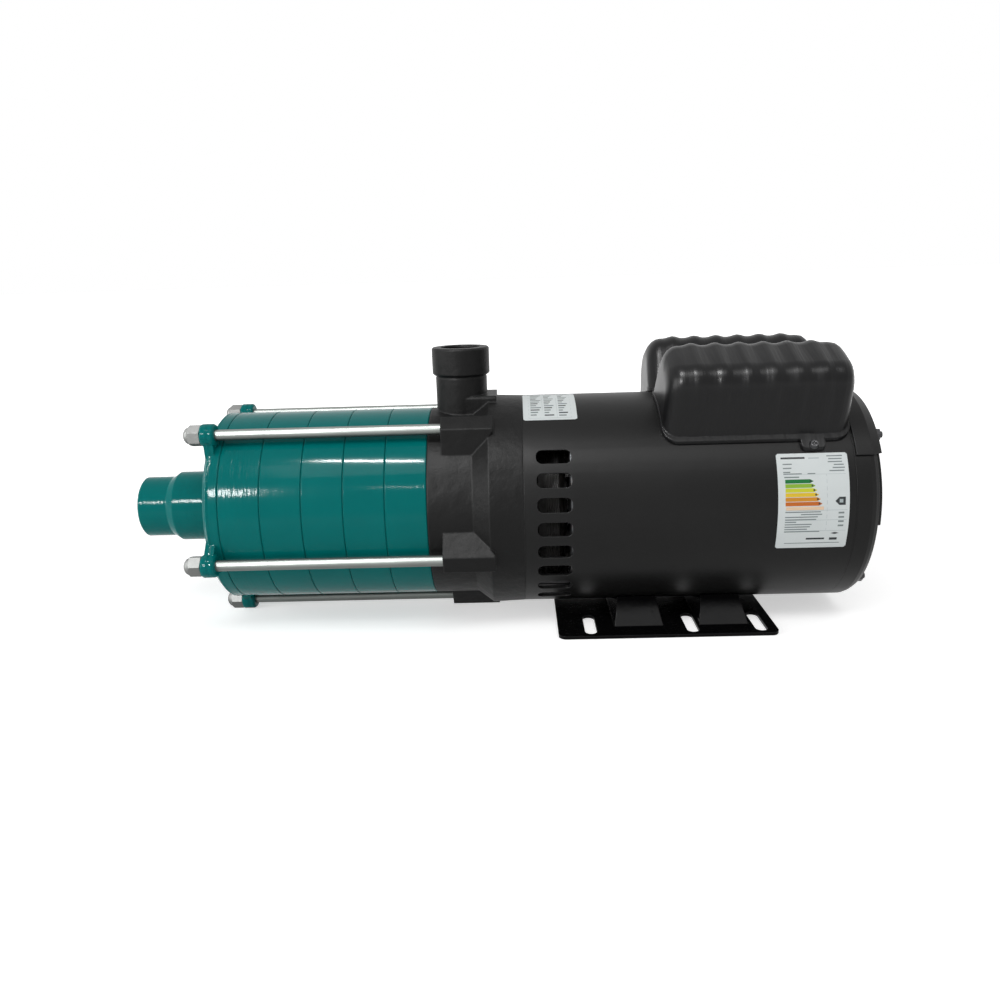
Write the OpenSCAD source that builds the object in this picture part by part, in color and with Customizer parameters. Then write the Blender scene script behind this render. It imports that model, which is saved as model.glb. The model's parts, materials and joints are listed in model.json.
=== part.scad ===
// Horizontal multistage pump on a single-phase motor.
// The shaft runs along X, from the suction port at low X to the motor's rear end at high X.
// The origin is on the floor, at the centre of the foot's outer slots, and +Z is up.

/* [Frame and foot] */
// Gap between the floor and the motor's shell
shell_gap = 6.9; // [5:0.1:14]
// Distance from the foot's centre to the front seam of the motor
motor_front = 111.6; // [104:0.2:120]
// Distance from the foot's centre to its first and last slots
slot_x = 63.5; // [60:0.5:66]
// Distance from the first slots to the middle slots
slot_step = 76.2; // [70:0.2:82]
// Distance from the shaft's plane to the centre of a slot
slot_y = 57.9; // [56:0.1:60]
// Length of a slot
slot_len = 35; // [24:0.5:36]
// Width of a slot
slot_w = 9; // [7:0.1:11]
// Length of the foot in front of its centre
foot_front = 88; // [84:0.5:94]
// Length of the foot behind its centre
foot_rear = 75.5; // [73:0.5:84]
// Width of the foot
foot_w = 158.8; // [156:0.2:168]
// Thickness of the foot's sheet
foot_t = 2.5; // [2:0.1:4]
// Radius of the foot's corners
foot_corner_r = 6; // [3:0.5:8]
// Distance between the two pressed saddles
saddle_step = 64; // [56:1:70]
// Length of a saddle along the shaft, at the sheet
saddle_len = 35; // [28:0.5:42]
// Half width of a saddle at the sheet
saddle_reach = 64; // [60:0.2:66]
// Half width of a saddle's flat top
saddle_top_reach = 47; // [44:0.5:50]
// Slope of a saddle's ends, as a run along the shaft
saddle_draft = 3; // [1:0.5:5]

/* [Pump stages] */
// Length of one stage
stage_pitch = 30.44; // [29.8:0.02:34]
// Wall of a stage casing
casing_wall_t = 8; // [7.5:0.1:10]
// Thickness of the wall between two stages
stage_wall_t = 4; // [3.5:0.1:5]
// Width of the bevel at each seam
seam_bevel = 0.6; // [0.3:0.1:1]
// Wall of the spigot that centres a casing in the one before it
spigot_wall_t = 3.85; // [3:0.05:4.5]
// Length of the spigot
spigot_len = 3; // [2.6:0.1:3.6]
// Cord diameter of the sealing ring at each seam
o_ring_cord = 2.1; // [1.6:0.1:2.4]

/* [Impellers] */
// Outer diameter of an impeller
impeller_d = 108; // [100:0.5:109]
// Diameter of an impeller's eye
eye_d = 42; // [36:0.5:46]
// Wall of the ring round the eye
eye_wall = 2; // [1.5:0.1:3]
// Thickness of the front shroud
front_shroud_t = 2; // [1.5:0.1:2.6]
// Width of the water passage
passage_w = 5; // [4:0.1:6]
// Thickness of the back shroud
back_shroud_t = 2.5; // [2:0.1:3]
// Gap between a shroud and the wall beside it
shroud_gap = 1; // [0.8:0.1:1.5]
// Diameter of an impeller's hub
hub_d = 22; // [21.4:0.2:25]
// Length of an impeller's hub
hub_len = 12; // [11:0.2:14]
// Thickness of an impeller's vane
impeller_vane_t = 2.2; // [1.5:0.1:3]

/* [Diffusers] */
// Gap between an impeller and the guide vanes
guide_gap = 1.5; // [1:0.1:2.5]
// Length of a guide vane outward
guide_len = 10.35; // [9:0.05:12]
// How far the plate between the two rings of vanes reaches under the guide vanes
plate_lap = 4.5; // [3:0.5:7]
// Thickness of that plate
diffuser_plate_t = 3; // [2:0.1:4]
// Thickness of a guide vane and of a return vane
diffuser_vane_t = 3; // [2:0.1:4]
// Diameter at which the return vanes end
return_end_d = 50; // [48:0.5:60]

/* [Suction cover] */
// Thickness of the cover's disc
cover_disc_t = 11.8; // [10:0.1:14]
// Outer diameter of the thick part of the neck
neck_d = 55.4; // [54:0.2:60]
// Length of the thick part of the neck
neck_len = 44; // [36:0.5:52]
// Outer diameter of the port
suction_port_d = 48; // [46:0.5:52]
// Length of the port in front of the neck
suction_port_len = 26; // [20:0.5:32]
// Core diameter of the suction thread, for a 1 1/4 inch pipe
suction_bore_d = 38.96; // [37:0.02:41]
// Length of the suction thread
suction_thread_len = 22; // [16:0.5:30]
// Diameter of a rod ear
ear_d = 17; // [15:0.5:20]
// Length of a rod ear along the rod
ear_len = 10.5; // [8:0.5:15]
// How far an ear stands out in front of the disc
ear_lead = 1.5; // [1:0.5:6]

/* [Tie rods] */
// Diameter of a tie rod
rod_d = 8; // [6:0.1:9]
// Gap between a rod and the casings
rod_gap = 3.7; // [3:0.1:5]
// Width of a rod nut across its flats
rod_nut_af = 14; // [12:0.1:14]
// Height of a rod nut's hexagon
rod_nut_h = 9.4; // [7:0.2:11]
// Length of rod inside a nut's cap
rod_tip = 1.6; // [0.5:0.1:2.5]
// Depth to which a rod goes into its lug
rod_depth = 20; // [14:0.5:24]

/* [Discharge body] */
// Length of the discharge body
body_len = 70.4; // [68:0.2:76]
// Length of its round barrel
barrel_len = 33.4; // [30:0.2:36]
// Length of the cone behind the barrel
cone_len = 12; // [9:0.5:14]
// How far the motor flange stands out over the shell
flange_rim = 1; // [0.5:0.1:3]
// Step from the casings' bore down to the water chamber
chamber_step = 4; // [2:0.5:6]
// Depth of the water chamber
chamber_len = 36; // [33:0.5:38]
// Thickness of the wall behind the chamber
body_wall_t = 10; // [9:0.5:12]
// Distance from the motor shell's outside in to the hollow behind the wall
hollow_inset = 26; // [25:0.5:28]
// Distance from the motor shell's outside in to the recess that takes the motor's shield
shield_seat_inset = 10; // [8:0.1:11]
// Depth of that recess
shield_seat_len = 12.4; // [12:0.1:14]
// Distance from the casing seam to the front of a lug
lug_start = 10.9; // [7:0.1:12]
// Length of a lug
lug_len = 38; // [34:0.5:44]
// Height of a lug's outer face over the rod's axis
lug_rise = 6.3; // [5:0.1:8]
// Width of a lug's outer face
lug_top_w = 13; // [11:0.5:16]
// Width of a lug at its root
lug_root_w = 38; // [34:0.5:48]
// Length of a lug's straight part, before it tapers
lug_straight_len = 22; // [16:0.5:28]
// How much shorter the lug behind the discharge port is
lug_cut = 8; // [4:0.5:12]

/* [Discharge port] */
// Distance from the casing seam to the port's axis
port_start = 24.4; // [23:0.2:26]
// Height of the port's mouth above the shaft
port_reach = 121.3; // [112:0.1:130]
// Outer diameter of the port's collar
collar_d = 44.2; // [42:0.2:48]
// Length of the collar
collar_len = 20.6; // [16:0.2:24]
// Outer diameter of the pipe below the collar
pipe_d = 39.6; // [38.5:0.2:41]
// Core diameter of the discharge thread, for a 1 inch pipe
port_bore_d = 30.29; // [29:0.01:32]
// Length of the discharge thread
port_thread_len = 20; // [15:0.5:24]
// Diameter of the passage below the thread
port_passage_d = 28; // [24:0.5:28.6]
// Height of the pad behind the pipe, over the flange's rim
pad_rise = 2.2; // [1:0.1:4]

/* [Shaft and seal] */
// Diameter of the shaft under the impellers
pump_shaft_d = 15; // [14:0.1:16]
// Diameter of the threaded shaft end
shaft_end_d = 13; // [11:0.1:13.6]
// Diameter of the shaft in the bearings
bearing_bore_d = 17; // [16.4:0.1:17.6]
// Diameter of the shaft inside the motor
rotor_shaft_d = 22; // [20:0.2:24]
// Width of the impeller key
key_w = 4; // [3:0.1:5]
// Height of the impeller key
key_h = 4; // [3:0.1:4.4]
// Diameter of a spacer sleeve
sleeve_d = 21; // [20.2:0.1:21.4]
// Width of the impeller nut across its flats
shaft_nut_af = 22; // [20:0.5:24]
// Height of the impeller nut
shaft_nut_h = 8; // [6:0.5:10]
// Outer diameter of the seal's faces
seal_d = 28; // [26:0.5:32]
// Thickness of the stationary seal seat
seal_seat_t = 7; // [6:0.1:8]
// Length of the rotating seal head
seal_head_len = 12.7; // [10:0.1:14]
// Wire diameter of the seal spring
seal_wire_d = 1.8; // [1.4:0.1:2.2]

/* [Bearings] */
// Outer diameter of a bearing
bearing_d = 40; // [39:0.1:41]
// Width of a bearing
bearing_w = 12; // [11:0.1:12.4]
// Diameter of a ball
ball_d = 6.75; // [6:0.05:7]

/* [Motor shell] */
// Outer diameter of the motor shell
shell_d = 164; // [163:0.5:166]
// Thickness of the shell's sheet
shell_t = 2; // [1.5:0.1:2.6]
// Length of the shell
shell_len = 234.1; // [228:0.1:240]
// Length of a vent slot
vent_len = 25.2; // [22:0.2:28]
// Width of a vent slot
vent_w = 10.6; // [8:0.1:12]
// Distance from the front seam to the vent slots
vent_start = 9.2; // [8.6:0.1:12]
// Number of vent slots on each side
vent_count = 8; // [4:1:8]
// Angle between two vent slots
vent_step = 12.4; // [11.5:0.1:12.6]

/* [Motor ends] */
// Length of the rear end bell behind the shell
bell_len = 16.8; // [15:0.2:20]
// Thickness of the end bell's wall
bell_wall_t = 4; // [3:0.1:5]
// Height of the raised part of the bell's rear face
bell_step = 2.2; // [1.5:0.1:3]
// Thickness of the terminal cover's sheet
terminal_cover_t = 1.2; // [0.8:0.1:1.6]
// Diameter of a bearing hub
hub_outer_d = 54; // [50:0.5:58]
// Length of the bell's and the shield's spigots in the shell
shell_spigot_len = 7; // [5:0.2:7.6]
// Thickness of the front shield's web
shield_web_t = 7; // [6:0.2:8]
// Diameter of a through bolt
through_bolt_d = 4.8; // [4:0.1:6]
// Distance from the shell's outside to a through bolt's middle
through_bolt_inset = 8; // [7.5:0.1:8.5]

/* [Stator and rotor] */
// Distance from the stator core to the rear seam
core_tail = 70.5; // [66:0.5:86]
// Distance from the front seam to the stator core
core_start = 33.6; // [31:0.2:40]
// Bore of the stator core
core_bore_d = 85; // [80:0.5:88]
// Air gap between the rotor and the stator
air_gap = 0.5; // [0.4:0.05:0.8]
// Length of the end turns beyond the core
end_turn_len = 23; // [14:0.5:23]
// Width of a stator slot
stator_slot_w = 5; // [4:0.1:6]
// Length of the rotor's cast rings beyond the core
end_ring_len = 10; // [8:0.5:12]
// Length of the fan fins beyond the rings
fin_len = 8; // [6:0.5:9]

/* [Centrifugal switch] */
// Distance from the rear bearing to the switch plate's rear face
switch_lead = 1; // [0.6:0.1:2]
// Thickness of the switch plate
switch_plate_t = 3; // [2:0.1:4]
// Length of the governor collar
collar_slide_len = 12; // [10:0.5:13]
// Travel of the governor collar
collar_travel = 3; // [2:0.1:3.4]

/* [Capacitor covers] */
// Distance from the foot's centre to the front of the covers
cap_front = 11.5; // [8:0.5:16]
// Distance from a cover's rear to the rear seam
cap_tail = 0; // [0:0.5:6]
// Angle of a cover's middle above the horizontal
cap_angle = 65.5; // [65:0.1:67]
// Half width of a cover at its foot, as a share of the shell's radius
cap_half_share = 0.4073; // [0.3773:0.0005:0.4093]
// How far a cover's side leans in from its foot to its top
cap_lean = 5.4; // [3.4:0.1:7.4]
// Height of a cover's top above the shell
cap_rise = 45; // [40:0.5:47]
// Radius of a cover's upper corners
cap_corner_r = 16; // [12:0.5:18]
// Wall of a cover below its ribs
cap_wall = 2.2; // [1.8:0.1:2.8]
// Number of ribs
rib_count = 6; // [4:1:6]
// Distance from a cover's front to the first rib
rib_lead = 21.5; // [17:0.5:24]
// Distance from the last rib to a cover's rear
rib_trail = 24; // [17:0.5:26]
// Height of the ribs
rib_depth = 1.3; // [1:0.1:3]
// Diameter of a capacitor
capacitor_d = 34; // [28:0.5:35]
// Distance from a capacitor's end to its cover's end
capacitor_end_gap = 22; // [16:0.5:32]

/* [Hidden] */
$fn = 96;
stage_count = 5;
rod_count = 5;
// Radial clearance of a close fit
fit = 0.15;
// Radial clearance of the shaft in what rides on it
shaft_fit = 0.03;
// Gap between curved faces that pass or meet
clear = 0.3;
// Overrun of every cut
over = 1;
// Small edge bevel
bevel = 1;

// Height of the shaft above the floor
shaft_h = shell_d / 2 + shell_gap;

// Stations along the shaft
shell_front_x = -motor_front;
shell_rear_x = shell_front_x + shell_len;
bell_face_x = shell_rear_x + bell_len;
bell_raised_x = bell_face_x + bell_step;
casing_end_x = shell_front_x - body_len;
cover_seam_x = casing_end_x - stage_count * stage_pitch;
cover_face_x = cover_seam_x - cover_disc_t;
neck_front_x = cover_face_x - neck_len;
port_mouth_x = neck_front_x - suction_port_len;
ear_front_x = cover_face_x - ear_lead;

// Radii that several pieces share
impeller_r = impeller_d / 2;
guide_start_r = impeller_r + guide_gap;
guide_end_r = guide_start_r + guide_len;
bore_r = guide_end_r + fit;
casing_r = bore_r + casing_wall_t;
spigot_r = bore_r + spigot_wall_t;
register_r = spigot_r + fit;
o_ring_groove_r = spigot_r + o_ring_cord;
eye_ring_r = eye_d / 2 + eye_wall;
eye_hole_r = eye_ring_r + clear;
rod_circle_r = casing_r + rod_gap + rod_d / 2;
lug_reach = rod_circle_r + lug_rise;
ear_flat = 6.8;
shell_r = shell_d / 2;
shell_bore_r = shell_r - shell_t;
pump_shaft_r = pump_shaft_d / 2;
bearing_bore_r = bearing_bore_d / 2;
bearing_r = bearing_d / 2;
flange_r = shell_r + flange_rim;
shield_seat_r = shell_r - shield_seat_inset;
chamber_r = bore_r - chamber_step;
rotor_shaft_r = rotor_shaft_d / 2;

// Stations inside one stage, from the stage's own front
front_shroud_u = stage_wall_t + shroud_gap;
passage_u = front_shroud_u + front_shroud_t;
back_shroud_u = passage_u + passage_w;
hub_end_u = front_shroud_u + hub_len;
plate_u = back_shroud_u + back_shroud_t + shroud_gap;
plate_end_u = plate_u + diffuser_plate_t;
neck_gap = 0.6;
sleeve_len = stage_pitch - hub_len;
sleeve_r = sleeve_d / 2;

// Vane counts and curvature, as shares of the impeller's radius
impeller_vane_count = 6;
guide_vane_count = 8;
return_vane_count = 8;
vane_centre_share = 0.48;
vane_curve_share = 0.74;
guide_centre_share = 0.42;
guide_curve_share = 0.9;
return_centre_share = 0.5;
return_curve_share = 0.66;

// Stations of the discharge body and the seal
flange_front_x = casing_end_x + barrel_len + cone_len;
chamber_end_x = casing_end_x + chamber_len;
body_wall_x = chamber_end_x + body_wall_t;
shield_seat_x = shell_front_x - shield_seat_len;
port_x = casing_end_x + port_start;
lug_front_x = casing_end_x + lug_start;
sleeve_end_x = casing_end_x - stage_pitch + hub_end_u + sleeve_len;
seal_hole_r = bearing_bore_r + clear + clear;
seal_r = seal_d / 2;
seal_seat_proud = 1;
seal_face_gap = 0.2;
seal_face_x = chamber_end_x - seal_seat_proud;
seal_head_x = seal_face_x - seal_face_gap - seal_head_len;
seal_washer_t = 1.5;
seal_coils = 3;

// Stations of the bearings and the shaft
bearing_lip = 6;
rear_bearing_inset = 6.5;
front_bearing_x = shield_seat_x + bearing_lip;
rear_bearing_x = shell_rear_x - rear_bearing_inset - bearing_w;
rear_hub_x = rear_bearing_x - switch_lead;
shaft_tail = 2;
shaft_nose = 3.8;
shaft_front_x = cover_seam_x + front_shroud_u - shaft_nut_h - shaft_nose;
hub_r = hub_outer_d / 2;
ball_circle_r = (bearing_bore_r + bearing_r) / 2;
ball_r = ball_d / 2;
ball_count = 8;
ball_gap = 0.1;
race_gap_share = 0.27;

// Stations of the stator, the rotor and the switch
core_x = shell_front_x + core_start;
core_len = shell_len - core_start - core_tail;
core_end_x = core_x + core_len;
stator_slot_count = 24;
slot_lip = 4.9;
slot_top_share = 0.73;
turn_round_share = 0.3734;
winding_gap = 2;
rotor_r = core_bore_d / 2 - air_gap;
collar_end_x = rear_hub_x - switch_plate_t - collar_travel - over;
collar_start_x = collar_end_x - collar_slide_len;

// Places of the screws and bolts
shield_screw_inset = 20;
shield_screw_circle_r = shell_r - shield_screw_inset;
shield_screw_d = 8;
shield_screw_head_d = 13;
shield_screw_len = 18;
shield_screw_angles = [45, 135, 225, 315];
through_bolt_r = shell_r - through_bolt_inset;
through_bolt_angles = [47, 133, 227, 313];
through_bolt_head_af = 8;
through_bolt_head_h = 3.5;
through_bolt_tip = 2;

// Angles round the shaft, counted from the front, with up at 90 and the rear at 180
rod_angles = [for (i = [0:rod_count - 1]) 54 + i * 360 / rod_count];
vent_first_angle = 35.5;
vent_angles = [for (i = [0:vent_count - 1]) vent_first_angle - i * vent_step];
terminal_angle = 32.5;
bell_step_angle = -4.2;

// The capacitor covers
cap_front_x = -cap_front;
cap_foot_r = shell_r + clear;
cap_len = shell_rear_x - cap_tail - cap_front_x;
cap_half_w = shell_r * cap_half_share;
cap_top_half_w = cap_half_w - cap_lean;
cap_reach = shell_r + cap_rise;
cap_sink = 12;
cap_base_h = shell_r - cap_sink;
rib_pitch = (cap_len - rib_lead - rib_trail) / (rib_count - 1);
capacitor_len = cap_len - 2 * capacitor_end_gap;
cap_end_r = 11;
cap_front_draft = 2.5;
cap_rear_draft = 0.6;
rim_w = 2.2;
rim_t = 2.8;
rim_corner_r = 12;
tab_tail = 28.5;
tab_x = shell_rear_x - tab_tail;
tab_w = 17;
tab_reach = 6.6;
cover_screw_d = 4;
cover_screw_head_d = 7;
cover_screw_head_h = 2.6;
capacitor_h = shell_r + clear + capacitor_d / 2;

// The foot
saddle_mid_x = shell_front_x + shell_len / 2;
cradle_depth = 13;
saddle_top = shaft_h - shell_r + cradle_depth;

// Width of a hexagon across its corners, from its width across the flats
function hex_d(af) = af / cos(30);

// Puts its children on the shaft's line at a station, with their Z along the shaft
module along(x) translate([x, 0, shaft_h]) rotate([0, 90, 0]) children();

// Turns its children about the shaft so that their Z points outward at an angle
module around(angle) translate([0, 0, shaft_h]) rotate([90 - angle, 0, 0]) children();

// A body of revolution about the shaft, from points of radius and station
module turned(points) along(0) rotate_extrude() polygon(points);

// A straight round bar parallel to the shaft
module bar(x_start, x_end, d, circle_r, angle)
    around(angle) translate([x_start, 0, circle_r]) rotate([0, 90, 0]) cylinder(d = d, h = x_end - x_start);

// A hexagonal bar parallel to the shaft, with two of its flats square to the radius
module hex_bar(x_start, x_end, af, circle_r, angle)
    around(angle) translate([x_start, 0, circle_r]) rotate([0, 90, 0]) rotate(30)
        cylinder(d = hex_d(af), h = x_end - x_start, $fn = 6);

// A flat ring between two radii
module ring_2d(r_in, r_out) difference() {
    circle(r = r_out);
    circle(r = r_in);
}

// A rectangle with round corners, centred
module rounded_rect(length, width, r) {
    square([length - 2 * r, width], center = true);
    square([length, width - 2 * r], center = true);
    for (x = [-1, 1], y = [-1, 1])
        translate([x * (length / 2 - r), y * (width / 2 - r)]) circle(r = r);
}

// A slot with round ends, centred, its length along Y
module slot_2d(length, width) {
    square([width, length - width], center = true);
    for (side = [-1, 1]) translate([0, side * (length - width) / 2]) circle(d = width);
}

// One vane: the part of a round wall of thickness t that lies between two radii
module vane_2d(r_in, r_out, t, centre, curve_r) intersection() {
    ring_2d(r_in, r_out);
    translate([centre, 0]) ring_2d(curve_r - t / 2, curve_r + t / 2);
    translate([-r_out, 0]) square([2 * r_out, r_out]);
}

// A ring of vanes
module vanes_2d(count, r_in, r_out, t, centre, curve_r)
    for (i = [0:count - 1]) rotate(i * 360 / count) vane_2d(r_in, r_out, t, centre, curve_r);

// Station of a stage's own front, from its number counted at the suction end
function stage_x(number) = cover_seam_x + (number - 1) * stage_pitch;

// Outline of the register and the sealing ring's groove, cut into the rear of a casing at x
function register_points(x) = [
    [o_ring_groove_r, x],
    [o_ring_groove_r, x - o_ring_cord],
    [register_r, x - o_ring_cord],
    [register_r, x - spigot_len - fit],
    [bore_r, x - spigot_len - fit]
];

// The suction cover: a disc with five ears for the rods, and the neck with its threaded port
module suction_cover() color("#00736e") {
    thread_r = suction_bore_d / 2;
    step = bevel * 3;
    difference() {
        union() {
            turned(concat([
                [thread_r, port_mouth_x],
                [suction_port_d / 2 - bevel, port_mouth_x],
                [suction_port_d / 2, port_mouth_x + bevel],
                [suction_port_d / 2, neck_front_x - step],
                [neck_d / 2, neck_front_x + step],
                [neck_d / 2, cover_face_x - step],
                [neck_d / 2 + step, cover_face_x],
                [casing_r - step, cover_face_x],
                [casing_r, cover_face_x + step],
                [casing_r, cover_seam_x - seam_bevel],
                [casing_r - seam_bevel, cover_seam_x]
            ], register_points(cover_seam_x), [
                [bore_r, cover_seam_x],
                [eye_hole_r, cover_seam_x],
                [eye_hole_r, cover_face_x],
                [thread_r + bevel, port_mouth_x + suction_thread_len + step],
                [thread_r, port_mouth_x + suction_thread_len]
            ]));
            for (angle = rod_angles) {
                around(angle) ear_boss();
                around(angle) ear_neck();
            }
        }
        for (angle = rod_angles)
            bar(ear_front_x - over, ear_front_x + ear_len + over, rod_d + 2 * fit, rod_circle_r, angle);
        translate([ear_front_x - over, -ear_d, -ear_d])
            cube([ear_len + 2 * over, 2 * ear_d, ear_d + shaft_h - rod_circle_r - ear_flat]);
    }
}

// The round boss of an ear, with rolled edges
module ear_boss() {
    roll = bevel * 1.6;
    translate([ear_front_x, 0, rod_circle_r]) rotate([0, 90, 0]) rotate_extrude() polygon([
        [0, 0],
        [ear_d / 2 - roll, 0],
        [ear_d / 2 - roll * 0.3, roll * 0.3],
        [ear_d / 2, roll],
        [ear_d / 2, ear_len - roll],
        [ear_d / 2 - roll * 0.3, ear_len - roll * 0.3],
        [ear_d / 2 - roll, ear_len],
        [0, ear_len]
    ]);
}

// The flared foot that joins an ear to the disc
module ear_neck() {
    root_r = casing_r - ear_d / 4;
    root_w = ear_d * 0.85;
    tip_w = ear_d * 0.42;
    start_x = ear_front_x + ear_lead + bevel / 2;
    translate([start_x, 0, 0]) rotate([90, 0, 90]) linear_extrude(ear_len - ear_lead - 2 * bevel)
        polygon([[-root_w, root_r], [root_w, root_r], [tip_w, rod_circle_r], [-tip_w, rod_circle_r]]);
}

// One stage casing: a ring with the wall that parts it from the stage before
module stage_casing(number) color("#00736e") {
    x = stage_x(number);
    end_x = x + stage_pitch;
    turned(concat([
        [eye_hole_r, x],
        [bore_r, x],
        [bore_r, x - spigot_len],
        [spigot_r, x - spigot_len],
        [spigot_r, x],
        [casing_r - seam_bevel, x],
        [casing_r, x + seam_bevel],
        [casing_r, end_x - seam_bevel],
        [casing_r - seam_bevel, end_x]
    ], register_points(end_x), [
        [bore_r, x + stage_wall_t],
        [eye_hole_r, x + stage_wall_t]
    ]));
}

// Sealing rings in the corners behind the spigots, one at each seam
module casing_o_rings() color("#1a1a1a") {
    cord_r = o_ring_cord / 2 - fit / 2;
    for (i = [0:stage_count])
        along(cover_seam_x + i * stage_pitch - o_ring_cord / 2) rotate_extrude()
            translate([spigot_r + o_ring_cord / 2, 0]) circle(r = cord_r, $fn = 32);
}

// Tie rods, screwed into the lugs of the discharge body
module tie_rods() color("#b9b9b2")
    for (angle = rod_angles) {
        bar(ear_front_x - rod_nut_h - rod_tip + bevel, lug_front_x + rod_depth, rod_d, rod_circle_r, angle);
        around(angle) translate([ear_front_x - rod_nut_h - rod_tip, 0, rod_circle_r])
            rotate([0, 90, 0]) cylinder(d1 = rod_d - 2 * bevel, d2 = rod_d, h = bevel);
    }

// Cap nuts that clamp the suction cover on the rods
module tie_rod_nuts() color("#c8c8c4") {
    cap_r = rod_nut_af * 0.47;
    dome_r = cap_r - clear;
    dome_h = rod_nut_af * 0.3;
    front_x = ear_front_x - rod_nut_h;
    for (angle = rod_angles) difference() {
        union() {
            intersection() {
                hex_bar(front_x, ear_front_x, rod_nut_af, rod_circle_r, angle);
                around(angle) translate([front_x, 0, rod_circle_r]) rotate([0, 90, 0])
                    cylinder(r1 = cap_r, r2 = cap_r + rod_nut_h, h = rod_nut_h);
            }
            around(angle) translate([front_x, 0, rod_circle_r]) rotate([0, 90, 0]) rotate_extrude()
                polygon(concat([[0, over], [dome_r, over]], [for (turn = [0:15:75])
                    [dome_r * cos(turn), -dome_h * sin(turn)]], [[0, -dome_h]]));
        }
        bar(front_x - rod_tip - clear, ear_front_x + over, rod_d + 2 * shaft_fit, rod_circle_r, angle);
        bar(ear_front_x, ear_front_x + rod_nut_af, 2 * rod_nut_af, rod_circle_r, angle);
    }
}

// One diffuser: guide vanes round the impeller, a plate, and return vanes behind it
module diffuser(number) color("#3a3d40") {
    x = stage_x(number);
    along(x + plate_u) linear_extrude(diffuser_plate_t)
        ring_2d(hub_d / 2 + clear, guide_start_r + plate_lap);
    along(x + stage_wall_t) linear_extrude(plate_end_u - stage_wall_t)
        vanes_2d(guide_vane_count, guide_start_r, guide_end_r, diffuser_vane_t,
            guide_end_r * guide_centre_share, guide_end_r * guide_curve_share);
    along(x + plate_u) linear_extrude(stage_pitch - plate_u)
        vanes_2d(return_vane_count, return_end_d / 2, guide_end_r, diffuser_vane_t,
            guide_end_r * return_centre_share, guide_end_r * return_curve_share);
}

// One closed impeller: the eye's ring and front shroud, six vanes, the back shroud and the hub
module impeller(number) color("#c9c4b4") difference() {
    x = stage_x(number);
    tip_r = impeller_r;
    inner_r = eye_d / 2;
    hub_r = hub_d / 2;
    hub_bore_r = pump_shaft_r + shaft_fit;
    union() {
        turned([
            [inner_r, x + neck_gap],
            [eye_ring_r, x + neck_gap],
            [eye_ring_r, x + front_shroud_u],
            [tip_r, x + front_shroud_u],
            [tip_r, x + passage_u],
            [eye_ring_r, x + passage_u],
            [inner_r, x + passage_u - bevel]
        ]);
        turned([
            [hub_bore_r, x + front_shroud_u],
            [hub_r - bevel, x + front_shroud_u],
            [hub_r, x + passage_u],
            [hub_r + eye_wall, x + back_shroud_u - bevel],
            [hub_r + passage_w, x + back_shroud_u],
            [tip_r, x + back_shroud_u],
            [tip_r, x + back_shroud_u + back_shroud_t],
            [hub_r, x + back_shroud_u + back_shroud_t],
            [hub_r, x + hub_end_u],
            [hub_bore_r, x + hub_end_u]
        ]);
        along(x + passage_u - front_shroud_t / 2)
            linear_extrude(passage_w + front_shroud_t / 2 + back_shroud_t / 2)
                vanes_2d(impeller_vane_count, inner_r + bevel, tip_r - bevel / 2, impeller_vane_t,
                    tip_r * vane_centre_share, tip_r * vane_curve_share);
    }
    key_slot(x + front_shroud_u - over, x + hub_end_u + over);
}

// The slot for the key in whatever rides on the pump shaft
module key_slot(x_start, x_end)
    around(90) translate([x_start, -key_w / 2 - shaft_fit, 0])
        cube([x_end - x_start, key_w + 2 * shaft_fit, pump_shaft_r + key_h / 2 + shaft_fit]);

// Spacer sleeves between the hubs and up to the shaft's shoulder
module impeller_spacers() color("#9c9c98")
    for (number = [1:stage_count]) difference() {
        along(stage_x(number) + hub_end_u) linear_extrude(sleeve_len)
            ring_2d(pump_shaft_r + shaft_fit, sleeve_r);
        key_slot(stage_x(number) + hub_end_u - over, stage_x(number) + hub_end_u + sleeve_len + over);
    }

// The key that drives the impellers
module impeller_key() color("#8c8c88") {
    start_x = cover_seam_x + passage_u;
    end_x = sleeve_end_x - sleeve_len - bevel;
    around(90) translate([start_x, -key_w / 2, pump_shaft_r - key_h / 2])
        cube([end_x - start_x, key_w, key_h]);
}

// The nut that clamps the impellers against the shaft's shoulder
module impeller_nut() color("#b0b0aa") {
    end_x = cover_seam_x + front_shroud_u;
    difference() {
        hex_bar(end_x - shaft_nut_h, end_x, shaft_nut_af, 0, 0);
        along(end_x - shaft_nut_h - over)
            cylinder(d = shaft_end_d + 2 * shaft_fit, h = shaft_nut_h + 2 * over);
    }
}

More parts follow.
